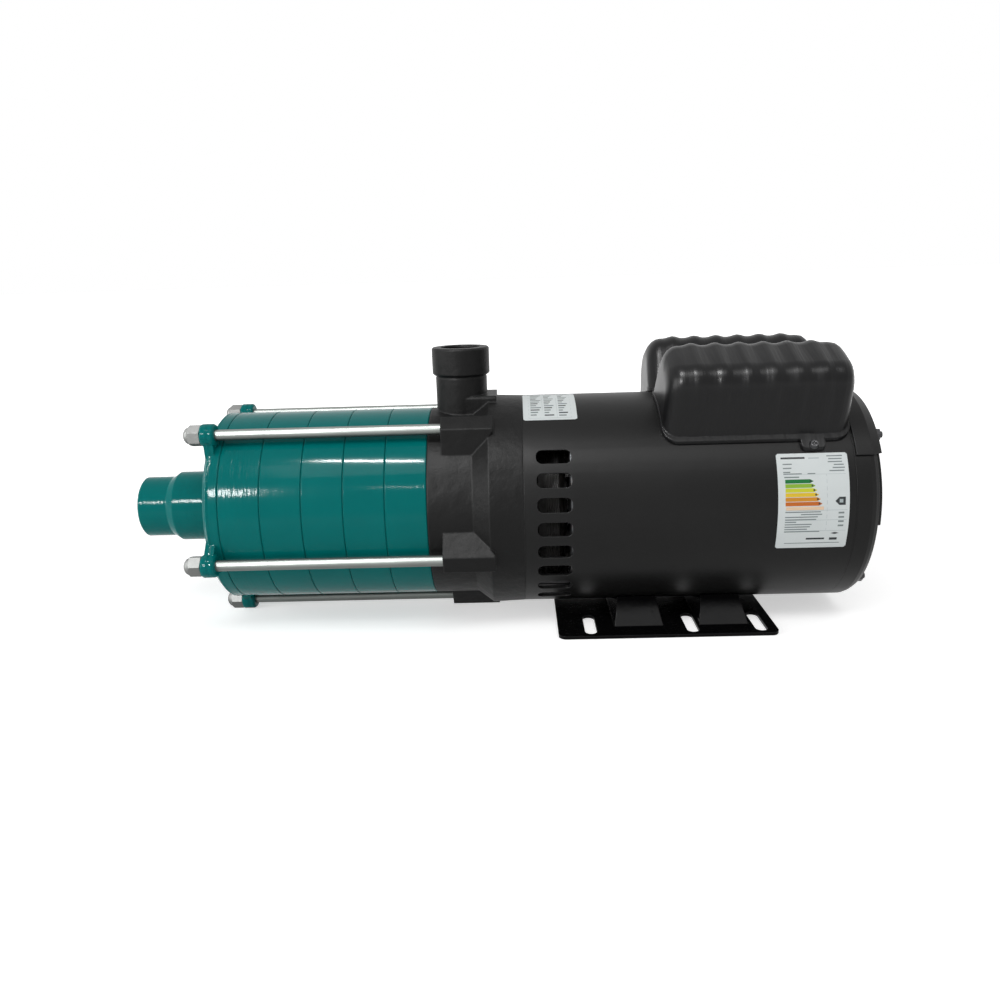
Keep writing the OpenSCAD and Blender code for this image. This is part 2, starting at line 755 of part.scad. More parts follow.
// The discharge body: barrel, cone and motor flange, with the chamber, the port and the rod lugs
module discharge_body() color("#2b2b2b") {
    barrel_end_x = casing_end_x + barrel_len;
    difference() {
        union() {
            turned([
                [0, casing_end_x],
                [bore_r, casing_end_x],
                [bore_r, casing_end_x - spigot_len],
                [spigot_r, casing_end_x - spigot_len],
                [spigot_r, casing_end_x],
                [casing_r - seam_bevel, casing_end_x],
                [casing_r, casing_end_x + seam_bevel],
                [casing_r, barrel_end_x],
                [flange_r, flange_front_x],
                [shell_r, shell_front_x],
                [0, shell_front_x]
            ]);
            for (i = [0:rod_count - 1])
                around(rod_angles[i]) rod_lug(i == 1 ? lug_len - lug_cut : lug_len);
            discharge_pipe();
            pipe_pad();
        }
        along(casing_end_x - spigot_len - over) cylinder(r = chamber_r, h = chamber_len + spigot_len + over);
        along(chamber_end_x - over) cylinder(r = seal_r + fit, h = over + seal_seat_t - seal_seat_proud);
        along(chamber_end_x - over) cylinder(r = seal_hole_r, h = body_wall_t + 2 * over);
        along(body_wall_x) cylinder(r = shell_r - hollow_inset, h = shell_front_x - body_wall_x + over);
        along(shield_seat_x) cylinder(r = shield_seat_r, h = shield_seat_len + over);
        for (angle = rod_angles)
            bar(lug_front_x - over, lug_front_x + rod_depth + bevel, rod_d + 2 * fit, rod_circle_r, angle);
        for (angle = shield_screw_angles)
            bar(shield_seat_x - shield_screw_len, shield_seat_x + over, shield_screw_d + 2 * fit,
                shield_screw_circle_r, angle);
        port_bores();
    }
}

// One lug of the discharge body, which takes the end of a tie rod
module rod_lug(length) {
    root_r = casing_r - lug_root_w / 9;
    intersection() {
        translate([lug_front_x, 0, 0]) rotate([90, 0, 90]) linear_extrude(length)
            polygon([[-lug_root_w / 2, root_r], [lug_root_w / 2, root_r],
                [lug_top_w / 2, lug_reach], [-lug_top_w / 2, lug_reach]]);
        translate([lug_front_x, 0, root_r - over]) linear_extrude(lug_reach - root_r + 2 * over)
            polygon([[-over, -lug_root_w / 2 - over], [lug_straight_len, -lug_root_w / 2 - over],
                [lug_len + over, -lug_top_w / 2], [lug_len + over, lug_top_w / 2],
                [lug_straight_len, lug_root_w / 2 + over], [-over, lug_root_w / 2 + over]]);
    }
}

// The upright pipe with its collar
module discharge_pipe() {
    collar_low = port_reach - collar_len;
    neck_h = collar_d / 2 - pipe_d / 2;
    translate([port_x, 0, shaft_h]) rotate_extrude() polygon([
        [0, chamber_r + bevel],
        [pipe_d / 2, chamber_r + bevel],
        [pipe_d / 2, collar_low - neck_h],
        [pipe_d / 2 - bevel / 2, collar_low - neck_h / 2],
        [collar_d / 2 - bevel, collar_low],
        [collar_d / 2, collar_low + bevel],
        [collar_d / 2, port_reach - bevel],
        [collar_d / 2 - bevel, port_reach],
        [0, port_reach]
    ]);
}

// The pad that squares off the pipe's root towards the flange
module pipe_pad() {
    half_w = pipe_d / 2 - clear;
    top_r = flange_r + pad_rise;
    roll = bevel * 1.5;
    translate([port_x, 0, shaft_h]) rotate([90, 0, 90])
        linear_extrude(flange_front_x + cone_len / 2 - port_x) polygon([
            [-half_w, chamber_r + bevel],
            [half_w, chamber_r + bevel],
            [half_w, top_r - roll],
            [half_w - roll, top_r],
            [roll - half_w, top_r],
            [-half_w, top_r - roll]
        ]);
}

// The threaded mouth of the port and the passage down to the chamber
module port_bores() translate([port_x, 0, shaft_h]) {
    translate([0, 0, port_reach - port_thread_len]) cylinder(d = port_bore_d, h = port_thread_len + over);
    cylinder(d = port_passage_d, h = port_reach);
}

// Stationary seat of the shaft seal
module seal_seat() color("#e8e4da")
    along(chamber_end_x - seal_seat_proud) linear_extrude(seal_seat_t)
        ring_2d(seal_hole_r, seal_r);

// Rotating head of the seal, and the washer that its spring stands on
module seal_head() color("#45484c") {
    inner_r = bearing_bore_r + shaft_fit;
    turned([
        [inner_r, seal_head_x],
        [seal_r, seal_head_x],
        [seal_r, seal_face_x - seal_face_gap - 4 * bevel],
        [seal_r - bevel, seal_face_x - seal_face_gap - 3 * bevel],
        [seal_r - bevel, seal_face_x - seal_face_gap],
        [inner_r, seal_face_x - seal_face_gap]
    ]);
    along(sleeve_end_x) linear_extrude(seal_washer_t) ring_2d(inner_r, seal_r);
}

// Points of a round section of the spring's wire, at a share of its length
function spring_ring(share, length, r, sides) = [
    for (i = [0:sides - 1])
        let (turn = share * 360 * seal_coils, side = i * 360 / sides,
            reach = r + seal_wire_d / 2 * cos(side))
            [reach * cos(turn), reach * sin(turn), share * length + seal_wire_d / 2 * sin(side)]
];

// The seal's helical spring, one unbroken wire
module seal_spring() color("#a8a8a4") {
    sides = 6;
    steps = 20 * seal_coils;
    start_x = sleeve_end_x + seal_washer_t + seal_wire_d / 2 + fit;
    length = seal_head_x - start_x - seal_wire_d / 2 - fit;
    coil_r = (bearing_bore_r + seal_r) / 2;
    points = [for (s = [0:steps]) each spring_ring(s / steps, length, coil_r, sides)];
    walls = [for (s = [0:steps - 1], i = [0:sides - 1]) each [
        [(s + 1) * sides + i, s * sides + i, s * sides + (i + 1) % sides],
        [(s + 1) * sides + i, s * sides + (i + 1) % sides, (s + 1) * sides + (i + 1) % sides]
    ]];
    start_cap = [for (i = [sides - 1:-1:0]) i];
    end_cap = [for (i = [0:sides - 1]) steps * sides + i];
    along(start_x) polyhedron(points = points, faces = concat(walls, [start_cap, end_cap]));
}

// The motor's shaft, which reaches through the pump
module motor_shaft() color("#a9a9a6") difference() {
    step_x = cover_seam_x + front_shroud_u + bevel / 2;
    bearing_end_x = front_bearing_x + bearing_w;
    tail_x = rear_bearing_x + bearing_w + shaft_tail;
    turned([
        [0, shaft_front_x],
        [shaft_end_d / 2 - bevel, shaft_front_x],
        [shaft_end_d / 2, shaft_front_x + bevel],
        [shaft_end_d / 2, step_x],
        [pump_shaft_r, step_x],
        [pump_shaft_r, sleeve_end_x],
        [bearing_bore_r, sleeve_end_x],
        [bearing_bore_r, bearing_end_x],
        [rotor_shaft_r, bearing_end_x],
        [rotor_shaft_r, rear_bearing_x],
        [bearing_bore_r, rear_bearing_x],
        [bearing_bore_r, tail_x - bevel],
        [bearing_bore_r - bevel, tail_x],
        [0, tail_x]
    ]);
    key_x = cover_seam_x + passage_u - fit;
    around(90) translate([key_x, -key_w / 2 - shaft_fit, pump_shaft_r - key_h / 2 - shaft_fit])
        cube([sleeve_end_x - sleeve_len - bevel - key_x + fit, key_w + 2 * shaft_fit, key_h]);
}

// The motor's front shield: its plate, the bearing hub and the ring that centres the shell
module front_shield() color("#55585a") difference() {
    seat_r = shield_seat_r - fit;
    ring_r = seat_r - 3 * bevel;
    spigot_end_x = shell_front_x + shell_spigot_len;
    turned([
        [bearing_bore_r + 8 * bevel, shield_seat_x],
        [seat_r, shield_seat_x],
        [seat_r, shell_front_x],
        [shell_bore_r - fit, shell_front_x],
        [shell_bore_r - fit, spigot_end_x],
        [ring_r + 3 * bevel, spigot_end_x],
        [ring_r, spigot_end_x - 3 * bevel],
        [ring_r, shield_seat_x + shield_web_t],
        [hub_r, shield_seat_x + shield_web_t],
        [hub_r - bevel, front_bearing_x + bearing_w],
        [bearing_r + shaft_fit, front_bearing_x + bearing_w],
        [bearing_r + shaft_fit, front_bearing_x],
        [bearing_bore_r + 8 * bevel, front_bearing_x]
    ]);
    for (angle = shield_screw_angles)
        bar(shield_seat_x - over, shield_seat_x + shield_web_t + over, shield_screw_d + 2 * fit,
            shield_screw_circle_r, angle);
    for (angle = through_bolt_angles)
        bar(shell_front_x, spigot_end_x + over, through_bolt_d + 2 * fit, through_bolt_r, angle);
}

// Cap screws that hold the shield to the discharge body
module shield_screws() color("#3c3c3c")
    for (angle = shield_screw_angles) {
        head_x = shield_seat_x + shield_web_t;
        bar(head_x - shield_screw_len - bevel, head_x + bevel, shield_screw_d, shield_screw_circle_r, angle);
        difference() {
            bar(head_x, head_x + shield_screw_d, shield_screw_head_d, shield_screw_circle_r, angle);
            hex_bar(head_x + shield_screw_d / 2, head_x + shield_screw_d + over, shield_screw_d * 0.75,
                shield_screw_circle_r, angle);
        }
    }

// The groove that the balls run in
module ball_race(x) along(x + bearing_w / 2) rotate_extrude()
    translate([ball_circle_r, 0]) circle(r = ball_r + ball_gap);

// Outer ring of a bearing that starts at x
module bearing_outer(x) color("#8f9194") difference() {
    along(x) linear_extrude(bearing_w)
        ring_2d(ball_circle_r + ball_d * (0.5 - race_gap_share) + ball_gap * 8, bearing_r);
    ball_race(x);
}

// Inner ring of a bearing
module bearing_inner(x) color("#9a9c9f") difference() {
    along(x) linear_extrude(bearing_w)
        ring_2d(bearing_bore_r + shaft_fit, ball_circle_r - ball_d * (0.5 - race_gap_share) - ball_gap * 4);
    ball_race(x);
}

// The balls of a bearing, in their cage
module bearing_cage(x) color("#b5893a") {
    for (i = [0:ball_count - 1]) along(x + bearing_w / 2) rotate(i * 360 / ball_count)
        translate([ball_circle_r, 0, 0]) sphere(r = ball_r);
    difference() {
        along(x + bearing_w / 2 - ball_r + bevel) linear_extrude(ball_d - 2 * bevel)
            ring_2d(ball_circle_r - bevel, ball_circle_r + bevel);
        for (i = [0:ball_count - 1]) along(x + bearing_w / 2) rotate(i * 360 / ball_count)
            translate([ball_circle_r, 0, 0]) sphere(r = ball_r + ball_gap);
    }
}

// The motor's shell, a rolled tube with the vent slots of both sides
module motor_shell() color("#2a2a2a") difference() {
    along(shell_front_x) linear_extrude(shell_len) ring_2d(shell_bore_r, shell_r);
    for (angle = vent_angles, side = [0, 1]) around(side == 0 ? angle : 180 - angle) vent_cut();
    for (side = [0, 1]) cover_screw_place(side)
        cylinder(d = cover_screw_d + 2 * fit, h = shell_t + rim_t, center = true);
}

// The cutter for one vent slot
module vent_cut()
    translate([shell_front_x + vent_start + vent_len / 2, 0, shell_bore_r - over])
        linear_extrude(shell_t + 2 * over) rounded_rect(vent_len, vent_w, vent_w * 0.42);

// The stator's stack of laminations with its slots
module stator_core() color("#6b6e70") along(core_x) linear_extrude(core_len) difference() {
    ring_2d(core_bore_d / 2, shell_bore_r - fit);
    for (i = [0:stator_slot_count - 1]) rotate(i * 360 / stator_slot_count) {
        slot_in = core_bore_d / 2 + slot_lip;
        translate([slot_in, -stator_slot_w / 2])
            square([shell_bore_r * slot_top_share - slot_in + stator_slot_w, stator_slot_w]);
    }
    for (angle = through_bolt_angles) rotate(-90 - angle)
        translate([through_bolt_r, 0]) circle(r = through_bolt_d / 2 + 2 * fit);
}

// The windings: the bars in the slots and the end turns at both ends
module windings() color("#8a4a22") {
    slot_in = core_bore_d / 2 + slot_lip + clear;
    slot_out = shell_bore_r * slot_top_share + stator_slot_w - clear;
    bar_w = stator_slot_w - 2 * clear;
    turn_w = end_turn_len - winding_gap;
    round = (slot_out - slot_in) * turn_round_share;
    along(core_x - winding_gap - over) linear_extrude(core_len + 2 * winding_gap + 2 * over)
        for (i = [0:stator_slot_count - 1]) rotate(i * 360 / stator_slot_count)
            translate([slot_in, -bar_w / 2]) square([slot_out - slot_in, bar_w]);
    for (x = [core_x - end_turn_len, core_end_x + winding_gap]) turned([
        [slot_in + round, x],
        [slot_out - round, x],
        [slot_out, x + round],
        [slot_out, x + turn_w - round],
        [slot_out - round, x + turn_w],
        [slot_in + round, x + turn_w],
        [slot_in, x + turn_w - round],
        [slot_in, x + round]
    ]);
}

// The rotor: its stack, the cast end rings and the fins that move the air
module rotor_core() color("#8d8f91") {
    ring_in = rotor_r * 0.62;
    ring_out = rotor_r * 0.92;
    along(core_x) linear_extrude(core_len) ring_2d(rotor_shaft_r + shaft_fit, rotor_r);
    for (x = [core_x - end_ring_len, core_end_x])
        along(x) linear_extrude(end_ring_len) ring_2d(ring_in, ring_out);
    fin_t = end_ring_len / 4;
    for (x = [core_x - end_ring_len - fin_len, core_end_x + end_ring_len])
        along(x) linear_extrude(fin_len) for (i = [0:7]) rotate(i * 45)
            translate([ring_in, -fin_t / 2]) square([ring_out - ring_in, fin_t]);
}

// The governor's fixed carrier with its two weights
module governor_carrier() color("#a7a294") {
    start_x = core_end_x + end_ring_len + fin_len + winding_gap;
    end_x = collar_start_x - clear;
    carrier_r = rotor_r * 0.7;
    along(start_x) linear_extrude(end_x - start_x)
        ring_2d(rotor_shaft_r + shaft_fit, rotor_shaft_r + 4 * bevel);
    along(start_x) linear_extrude((end_x - start_x) / 2) intersection() {
        ring_2d(rotor_shaft_r + bevel, carrier_r);
        square([carrier_r, 3 * carrier_r], center = true);
    }
}

// The governor's collar, which slides along the shaft
module governor_collar() color("#4a3020") {
    inner_r = rotor_shaft_r + shaft_fit;
    flange_t = collar_slide_len / 4;
    turned([
        [inner_r, collar_start_x],
        [inner_r + 4 * bevel, collar_start_x],
        [inner_r + 4 * bevel, collar_end_x - flange_t],
        [rotor_r * 0.62, collar_end_x - flange_t],
        [rotor_r * 0.62, collar_end_x],
        [inner_r, collar_end_x]
    ]);
}

// The stationary switch plate, seated on the rear hub
module switch_plate() color("#6b4a1e") {
    contact_w = switch_plate_t * 2;
    along(rear_hub_x - switch_plate_t) linear_extrude(switch_plate_t)
        ring_2d(rotor_shaft_r + 2 * bevel, hub_r + 8 * bevel);
    for (side = [-1, 1]) around(90)
        translate([rear_hub_x - switch_plate_t - over, side * hub_r - contact_w / 2, hub_r / 2])
            cube([switch_plate_t / 2 + over, contact_w, contact_w]);
}

// The motor's rear end bell with its bearing hub, the raised face and the air slots
module rear_bell() color("#2a2a2a") difference() {
    round = 3 * bevel;
    inner_r = shell_bore_r - fit - 3 * bevel;
    inner_x = bell_face_x - bell_wall_t;
    bearing_end_x = rear_bearing_x + bearing_w + shaft_fit;
    union() {
        turned([
            [bearing_r + shaft_fit, rear_hub_x],
            [hub_r, rear_hub_x],
            [hub_r + bevel, inner_x],
            [inner_r - round, inner_x],
            [inner_r, inner_x - round],
            [inner_r, shell_rear_x - shell_spigot_len],
            [shell_bore_r - fit, shell_rear_x - shell_spigot_len],
            [shell_bore_r - fit, shell_rear_x],
            [shell_r, shell_rear_x],
            [shell_r, bell_face_x - 2 * round],
            [shell_r - bevel, bell_face_x - round],
            [shell_r - round, bell_face_x],
            [0, bell_face_x],
            [0, bearing_end_x + shaft_tail + over],
            [bearing_bore_r + 8 * bevel, bearing_end_x + shaft_tail + over],
            [bearing_bore_r + 8 * bevel, bearing_end_x],
            [bearing_r + shaft_fit, bearing_end_x]
        ]);
        intersection() {
            along(bell_face_x - bell_wall_t / 2)
                cylinder(r1 = shell_r - round, r2 = shell_r - round - bevel, h = bell_wall_t / 2 + bell_step);
            translate([bell_face_x - bell_wall_t, -shell_r, shaft_h + shell_r * sin(bell_step_angle)])
                cube([2 * bell_wall_t, shell_d, shell_d]);
        }
    }
    for (angle = through_bolt_angles)
        bar(shell_rear_x, bell_raised_x + over, through_bolt_d + 2 * fit, through_bolt_r, angle);
    for (angle = [200:20:340]) around(angle) translate([inner_x - over, 0, shell_r * 0.62])
        rotate([90, 0, 90]) linear_extrude(bell_wall_t + bell_step + 2 * over)
            rounded_rect(vent_w / 2, vent_len * 0.8, vent_w * 0.2);
}

// The sheet cover over the terminals, on the upper part of the bell
module terminal_cover() color("#2c2c2c") difference() {
    rim_r = shell_r + clear;
    intersection() {
        turned([
            [0, bell_raised_x],
            [shell_r - 2 * bevel, bell_raised_x],
            [rim_r, bell_face_x - 5 * bevel],
            [rim_r, shell_rear_x + bevel],
            [rim_r + terminal_cover_t, shell_rear_x + bevel],
            [rim_r + terminal_cover_t, bell_face_x - 4 * bevel],
            [shell_r - 2 * bevel, bell_raised_x + terminal_cover_t],
            [0, bell_raised_x + terminal_cover_t]
        ]);
        translate([shell_rear_x, -shell_d, shaft_h + shell_r * sin(terminal_angle)])
            cube([2 * bell_len, 2 * shell_d, shell_d]);
    }
    for (angle = through_bolt_angles)
        bar(bell_face_x, bell_raised_x + 2 * bell_step, through_bolt_d + 2 * fit, through_bolt_r, angle);
}

// Through bolts that clamp the two motor ends on the shell
module through_bolts() color("#333333")
    for (angle = through_bolt_angles) {
        upper = sin(angle) > sin(terminal_angle);
        seat_x = upper ? bell_raised_x + terminal_cover_t : bell_face_x;
        bar(shell_front_x + bevel, seat_x + bevel, through_bolt_d, through_bolt_r, angle);
        hex_bar(seat_x, seat_x + through_bolt_head_h, through_bolt_head_af, through_bolt_r, angle);
        bar(seat_x + through_bolt_head_h - bevel, seat_x + through_bolt_head_h + through_bolt_tip,
            through_bolt_d, through_bolt_r, angle);
    }

// How far a cover's surface lies under the tops of its ribs, at a distance from its front
function groove_depth(s) =
    s < rib_lead - rib_pitch / 2 || s > rib_lead + (rib_count - 0.5) * rib_pitch ? rib_depth
    : rib_depth * (1 - pow(0.5 + 0.5 * cos((s - rib_lead) * 360 / rib_pitch), 1.4));

// How far a cover's section is drawn in near its round ends
function end_inset(s) =
    let (end_gap = min(s, cap_len - s))
    end_gap >= cap_end_r ? 0
    : cap_end_r - sqrt(pow(cap_end_r, 2) - pow(cap_end_r - end_gap, 2));

// Points of half a cover's section, from its foot to the middle of its top
function cover_half(inset, groove) =
    let (top_w = cap_top_half_w - inset - groove, foot_w = cap_half_w - inset,
        top_h = cap_reach - inset - groove, corner_h = top_h - cap_corner_r,
        side_points = [for (share = [0, 0.35, 0.6, 0.8])
            [foot_w + (cap_top_half_w - cap_half_w - groove) * share,
                cap_base_h + (corner_h - cap_base_h) * share]],
        corner_points = [for (turn = [0:15:90])
            [top_w - cap_corner_r + cap_corner_r * cos(turn), corner_h + cap_corner_r * sin(turn)]])
    concat(side_points, corner_points);

// One closed section of a cover at a distance s from its front, drawn in at its round ends
function cover_section(s) =
    let (half = cover_half(end_inset(s), groove_depth(s)), count = len(half))
    concat([for (p = half) section_point(s, p[0], p[1])],
        [for (i = [count - 1:-1:0]) section_point(s, -half[i][0], half[i][1])]);

// A point of the section, moved along the shaft by the ends' draft
function section_point(s, w, h) =
    let (rise = (h - cap_base_h) / (cap_reach - cap_base_h), share = s / cap_len)
    [cap_front_x + s + rise * (cap_front_draft * (1 - share) - cap_rear_draft * share), w, h];

// The outer form of a cover, lofted through its sections
module cover_form() {
    end_steps = [for (turn = [0:18:72]) cap_end_r * (1 - cos(turn))];
    rib_steps = [for (s = [cap_end_r:rib_pitch / 7:cap_len - cap_end_r]) s];
    stations = concat(end_steps, rib_steps, [for (i = [len(end_steps) - 1:-1:0]) cap_len - end_steps[i]]);
    sections = [for (s = stations) cover_section(s)];
    count = len(sections[0]);
    last = len(sections) - 1;
    walls = [for (s = [0:last - 1], i = [0:count - 1]) each [
        [s * count + (i + 1) % count, s * count + i, (s + 1) * count + i],
        [(s + 1) * count + (i + 1) % count, s * count + (i + 1) % count, (s + 1) * count + i]
    ]];
    caps = [for (i = [0:count / 2 - 2]) let (j = count - 1 - i, k = last * count) each [
        [i, i + 1, j],
        [i + 1, j - 1, j],
        [k + i + 1, k + i, k + j],
        [k + j - 1, k + i + 1, k + j]
    ]];
    polyhedron(points = [for (section = sections) each section], faces = concat(walls, caps));
}

// The section of a cover's hollow, drawn in all round by an inset
module hollow_section(inset) {
    wall = cap_wall + rib_depth + inset;
    top_w = cap_top_half_w - wall - bevel;
    top_h = cap_reach - wall;
    corner_r = cap_corner_r - wall;
    hull() for (side = [-1, 1]) {
        translate([side * (top_w - corner_r), top_h - corner_r]) circle(r = corner_r);
        translate([side * (cap_half_w - wall) / 2, cap_base_h]) square([cap_half_w - wall, bevel], center = true);
    }
}

// The hollow of a cover, which holds the capacitor; its ends are drawn in under the cover's round ends
module cover_hollow() {
    mid_x = cap_front_x + cap_len / 2;
    hull() for (is_end = [0, 1]) {
        end_gap = cap_wall + cap_front_draft + bevel + (1 - is_end) * cap_end_r / 2;
        length = cap_len - 2 * end_gap;
        translate([mid_x - length / 2, 0, 0]) rotate([90, 0, 90]) linear_extrude(length)
            hollow_section(is_end * cap_end_r / 3);
    }
}

// The rim that follows the shell, and the tab for the screw
module cover_rim() intersection() {
    mid_x = cap_front_x + cap_len / 2;
    union() {
        translate([mid_x, -rim_w / 2, cap_base_h])
            linear_extrude(shell_r) rounded_rect(cap_len, 2 * cap_half_w + rim_w, rim_corner_r);
        translate([tab_x, -cap_half_w - rim_w - tab_reach / 2 + bevel, cap_base_h - 3 * tab_reach / 2])
            linear_extrude(shell_r) rounded_rect(tab_w, tab_reach + 2 * bevel, tab_reach / 2);
    }
    rotate([0, 90, 0]) translate([0, 0, cap_front_x - over])
        cylinder(r = cap_foot_r + rim_t, h = cap_len + 2 * over);
}

// One capacitor cover, standing upright before it is turned to its side of the shell
module capacitor_cover() difference() {
    union() {
        cover_form();
        cover_rim();
    }
    cover_hollow();
    rotate([0, 90, 0]) translate([0, 0, cap_front_x - over]) cylinder(r = cap_foot_r, h = cap_len + 2 * over);
}

// Puts its children at a cover's screw, with their Z outward; side 0 is near, side 1 is far
module cover_screw_place(side) mirror([0, side, 0])
    around(cap_angle - asin((cap_half_w + rim_w + tab_reach / 2) / cap_foot_r)) translate([tab_x, 0, shell_r])
        children();

module near_capacitor_cover() color("#262626") difference() {
    around(cap_angle) capacitor_cover();
    cover_screw_place(0) cylinder(d = cover_screw_d + 2 * fit, h = 4 * rim_t, center = true);
    translate([cap_front_x - over, -clear, shaft_h]) cube([cap_len + 2 * over, cap_half_w, shell_d]);
}

module far_capacitor_cover() color("#262626") mirror([0, 1, 0]) difference() {
    around(cap_angle) capacitor_cover();
    cover_screw_place(0) cylinder(d = cover_screw_d + 2 * fit, h = 4 * rim_t, center = true);
    translate([cap_front_x - over, -clear, shaft_h]) cube([cap_len + 2 * over, cap_half_w, shell_d]);
}

// A capacitor: its can with a rolled edge, and the two terminals
module capacitor() {
    start_x = cap_front_x + cap_len / 2 - capacitor_len / 2;
    can_r = capacitor_d / 2;
    terminal_w = can_r / 3;
    translate([start_x, 0, capacitor_h]) rotate([0, 90, 0]) rotate_extrude() polygon([
        [0, bevel],
        [can_r - 2 * bevel, bevel],
        [can_r - 2 * bevel, 0],
        [can_r, 0],
        [can_r, capacitor_len - 2 * bevel],
        [can_r - 2 * bevel, capacitor_len],
        [0, capacitor_len]
    ]);
    for (side = [-1, 1])
        translate([start_x - terminal_w + bevel, side * terminal_w - bevel / 2, capacitor_h - terminal_w / 2])
            cube([2 * terminal_w, bevel, terminal_w]);
}

module near_capacitor() color("#1d1d1d") around(cap_angle) capacitor();
module far_capacitor() color("#1d1d1d") mirror([0, 1, 0]) around(cap_angle) capacitor();

// Screws that hold the covers' tabs to the shell
module cover_screws() color("#3a3a3a")
    for (side = [0, 1]) cover_screw_place(side) {
        head_z = clear + rim_t;
        translate([0, 0, -2 * shell_t]) cylinder(d = cover_screw_d, h = 2 * shell_t + head_z + bevel);
        difference() {
            translate([0, 0, head_z]) cylinder(d1 = cover_screw_head_d, d2 = cover_screw_head_d - 2 * bevel,
                h = cover_screw_head_h);
            translate([0, 0, head_z + cover_screw_head_h]) for (turn = [0, 90]) rotate(turn)
                cube([cover_screw_head_d / 2, bevel, 2 * bevel], center = true);
        }
    }

// A pressed bump with sloping sides, between two heights
module frustum(length, width, top_length, top_width, z_low, z_high) {
    corners = [[-1, -1], [1, -1], [1, 1], [-1, 1]];
    points = concat(
        [for (c = corners) [c[0] * length / 2, c[1] * width / 2, z_low]],
        [for (c = corners) [c[0] * top_length / 2, c[1] * top_width / 2, z_high]]);
    polyhedron(points = points, faces = [[0, 1, 2, 3], [7, 6, 5, 4], [0, 4, 5, 1], [1, 5, 6, 2],
        [2, 6, 7, 3], [3, 7, 4, 0]]);
}

// The foot: a pressed sheet with six slots and two saddles that cradle the shell
module base_plate() color("#0c0c0c") difference() {
    union() {
        linear_extrude(foot_t) difference() {
            translate([(foot_rear - foot_front) / 2, 0])
                rounded_rect(foot_front + foot_rear, foot_w, foot_corner_r);
            for (x = [-slot_x, slot_step - slot_x, slot_x], side = [-1, 1])
                translate([x, side * slot_y]) slot_2d(slot_len, slot_w);
        }
        for (side = [-1, 1]) translate([saddle_mid_x + side * saddle_step / 2, 0, 0])
            frustum(saddle_len + saddle_draft, 2 * saddle_reach + saddle_draft, saddle_len - 2 * saddle_draft,
                2 * saddle_top_reach, 0, saddle_top);
    }
    for (side = [-1, 1]) translate([saddle_mid_x + side * saddle_step / 2, 0, 0])
        frustum(saddle_len - foot_t, 2 * saddle_reach - 2 * foot_t, saddle_len - foot_t - 2 * saddle_draft,
            saddle_reach + saddle_top_reach - 2 * foot_t, -over, saddle_top - cradle_depth - foot_t / 2);
    along(-foot_front - over) cylinder(r = shell_r + fit, h = foot_front + foot_rear + 2 * over);
}

suction_cover();
stage_casing(1);  // stage_casing_1
stage_casing(2);  // stage_casing_2
stage_casing(3);  // stage_casing_3
stage_casing(4);  // stage_casing_4
stage_casing(5);  // stage_casing_5
casing_o_rings();
tie_rods();
tie_rod_nuts();
diffuser(1);  // diffuser_1
diffuser(2);  // diffuser_2
diffuser(3);  // diffuser_3
diffuser(4);  // diffuser_4
diffuser(5);  // diffuser_5
impeller(1);  // impeller_1
impeller(2);  // impeller_2
impeller(3);  // impeller_3
impeller(4);  // impeller_4
impeller(5);  // impeller_5
impeller_spacers();
impeller_key();
impeller_nut();
discharge_body();
seal_seat();
seal_head();
seal_spring();
motor_shaft();
front_shield();
shield_screws();
bearing_outer(front_bearing_x);  // front_bearing_outer
bearing_inner(front_bearing_x);  // front_bearing_inner
bearing_cage(front_bearing_x);  // front_bearing_cage
bearing_outer(rear_bearing_x);  // rear_bearing_outer
bearing_inner(rear_bearing_x);  // rear_bearing_inner
bearing_cage(rear_bearing_x);  // rear_bearing_cage
motor_shell();
stator_core();
windings();
rotor_core();
governor_carrier();
governor_collar();
switch_plate();
rear_bell();
through_bolts();
terminal_cover();
near_capacitor_cover();
far_capacitor_cover();
near_capacitor();
far_capacitor();
cover_screws();
base_plate();
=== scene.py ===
# %% [markdown]
# # A five-stage pump on its motor
#
# The object is a ring-section pump: five ring-shaped casings, clamped between a suction cover
# and a discharge body by five tie rods, and driven by the motor behind them. All of it was
# modelled as a solid part first. This script loads that part as a fixed frame, gives each piece
# the finish of the real one, and adds what a solid model leaves out: pipe threads, labels,
# rolled edges and the even skin of the moulded covers.
#
# Every length is in metres, and a small one is written as so many mm. Every place is a place on
# the part itself.

# %% Load the solid part as the frame
import json
import math

import bpy
from mathutils import Matrix, Vector


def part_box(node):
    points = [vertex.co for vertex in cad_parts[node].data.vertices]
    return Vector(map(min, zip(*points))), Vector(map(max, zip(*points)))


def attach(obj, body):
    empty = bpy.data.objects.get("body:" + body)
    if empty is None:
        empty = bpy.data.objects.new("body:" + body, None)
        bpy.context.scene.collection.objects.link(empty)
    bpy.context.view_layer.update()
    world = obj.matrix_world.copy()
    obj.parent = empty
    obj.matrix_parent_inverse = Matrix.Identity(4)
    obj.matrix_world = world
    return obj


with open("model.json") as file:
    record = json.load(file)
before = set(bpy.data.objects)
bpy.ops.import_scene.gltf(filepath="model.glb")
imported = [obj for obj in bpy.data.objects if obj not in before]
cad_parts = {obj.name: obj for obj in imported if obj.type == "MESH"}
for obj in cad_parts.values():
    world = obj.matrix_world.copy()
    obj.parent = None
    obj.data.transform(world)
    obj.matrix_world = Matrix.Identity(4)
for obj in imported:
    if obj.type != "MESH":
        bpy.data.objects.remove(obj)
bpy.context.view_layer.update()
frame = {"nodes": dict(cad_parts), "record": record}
nodes = frame["nodes"]

# %% [markdown]
# ## The sizes that the script needs
#
# The seams in the paint, the threads and the labels have to sit exactly on the piece that
# carries them. Their places could be typed in, but then they would drift when the part changes.
# So each size is read from a piece of the frame. The shaft runs along X, so the middle of the
# round shell gives the shaft's height.

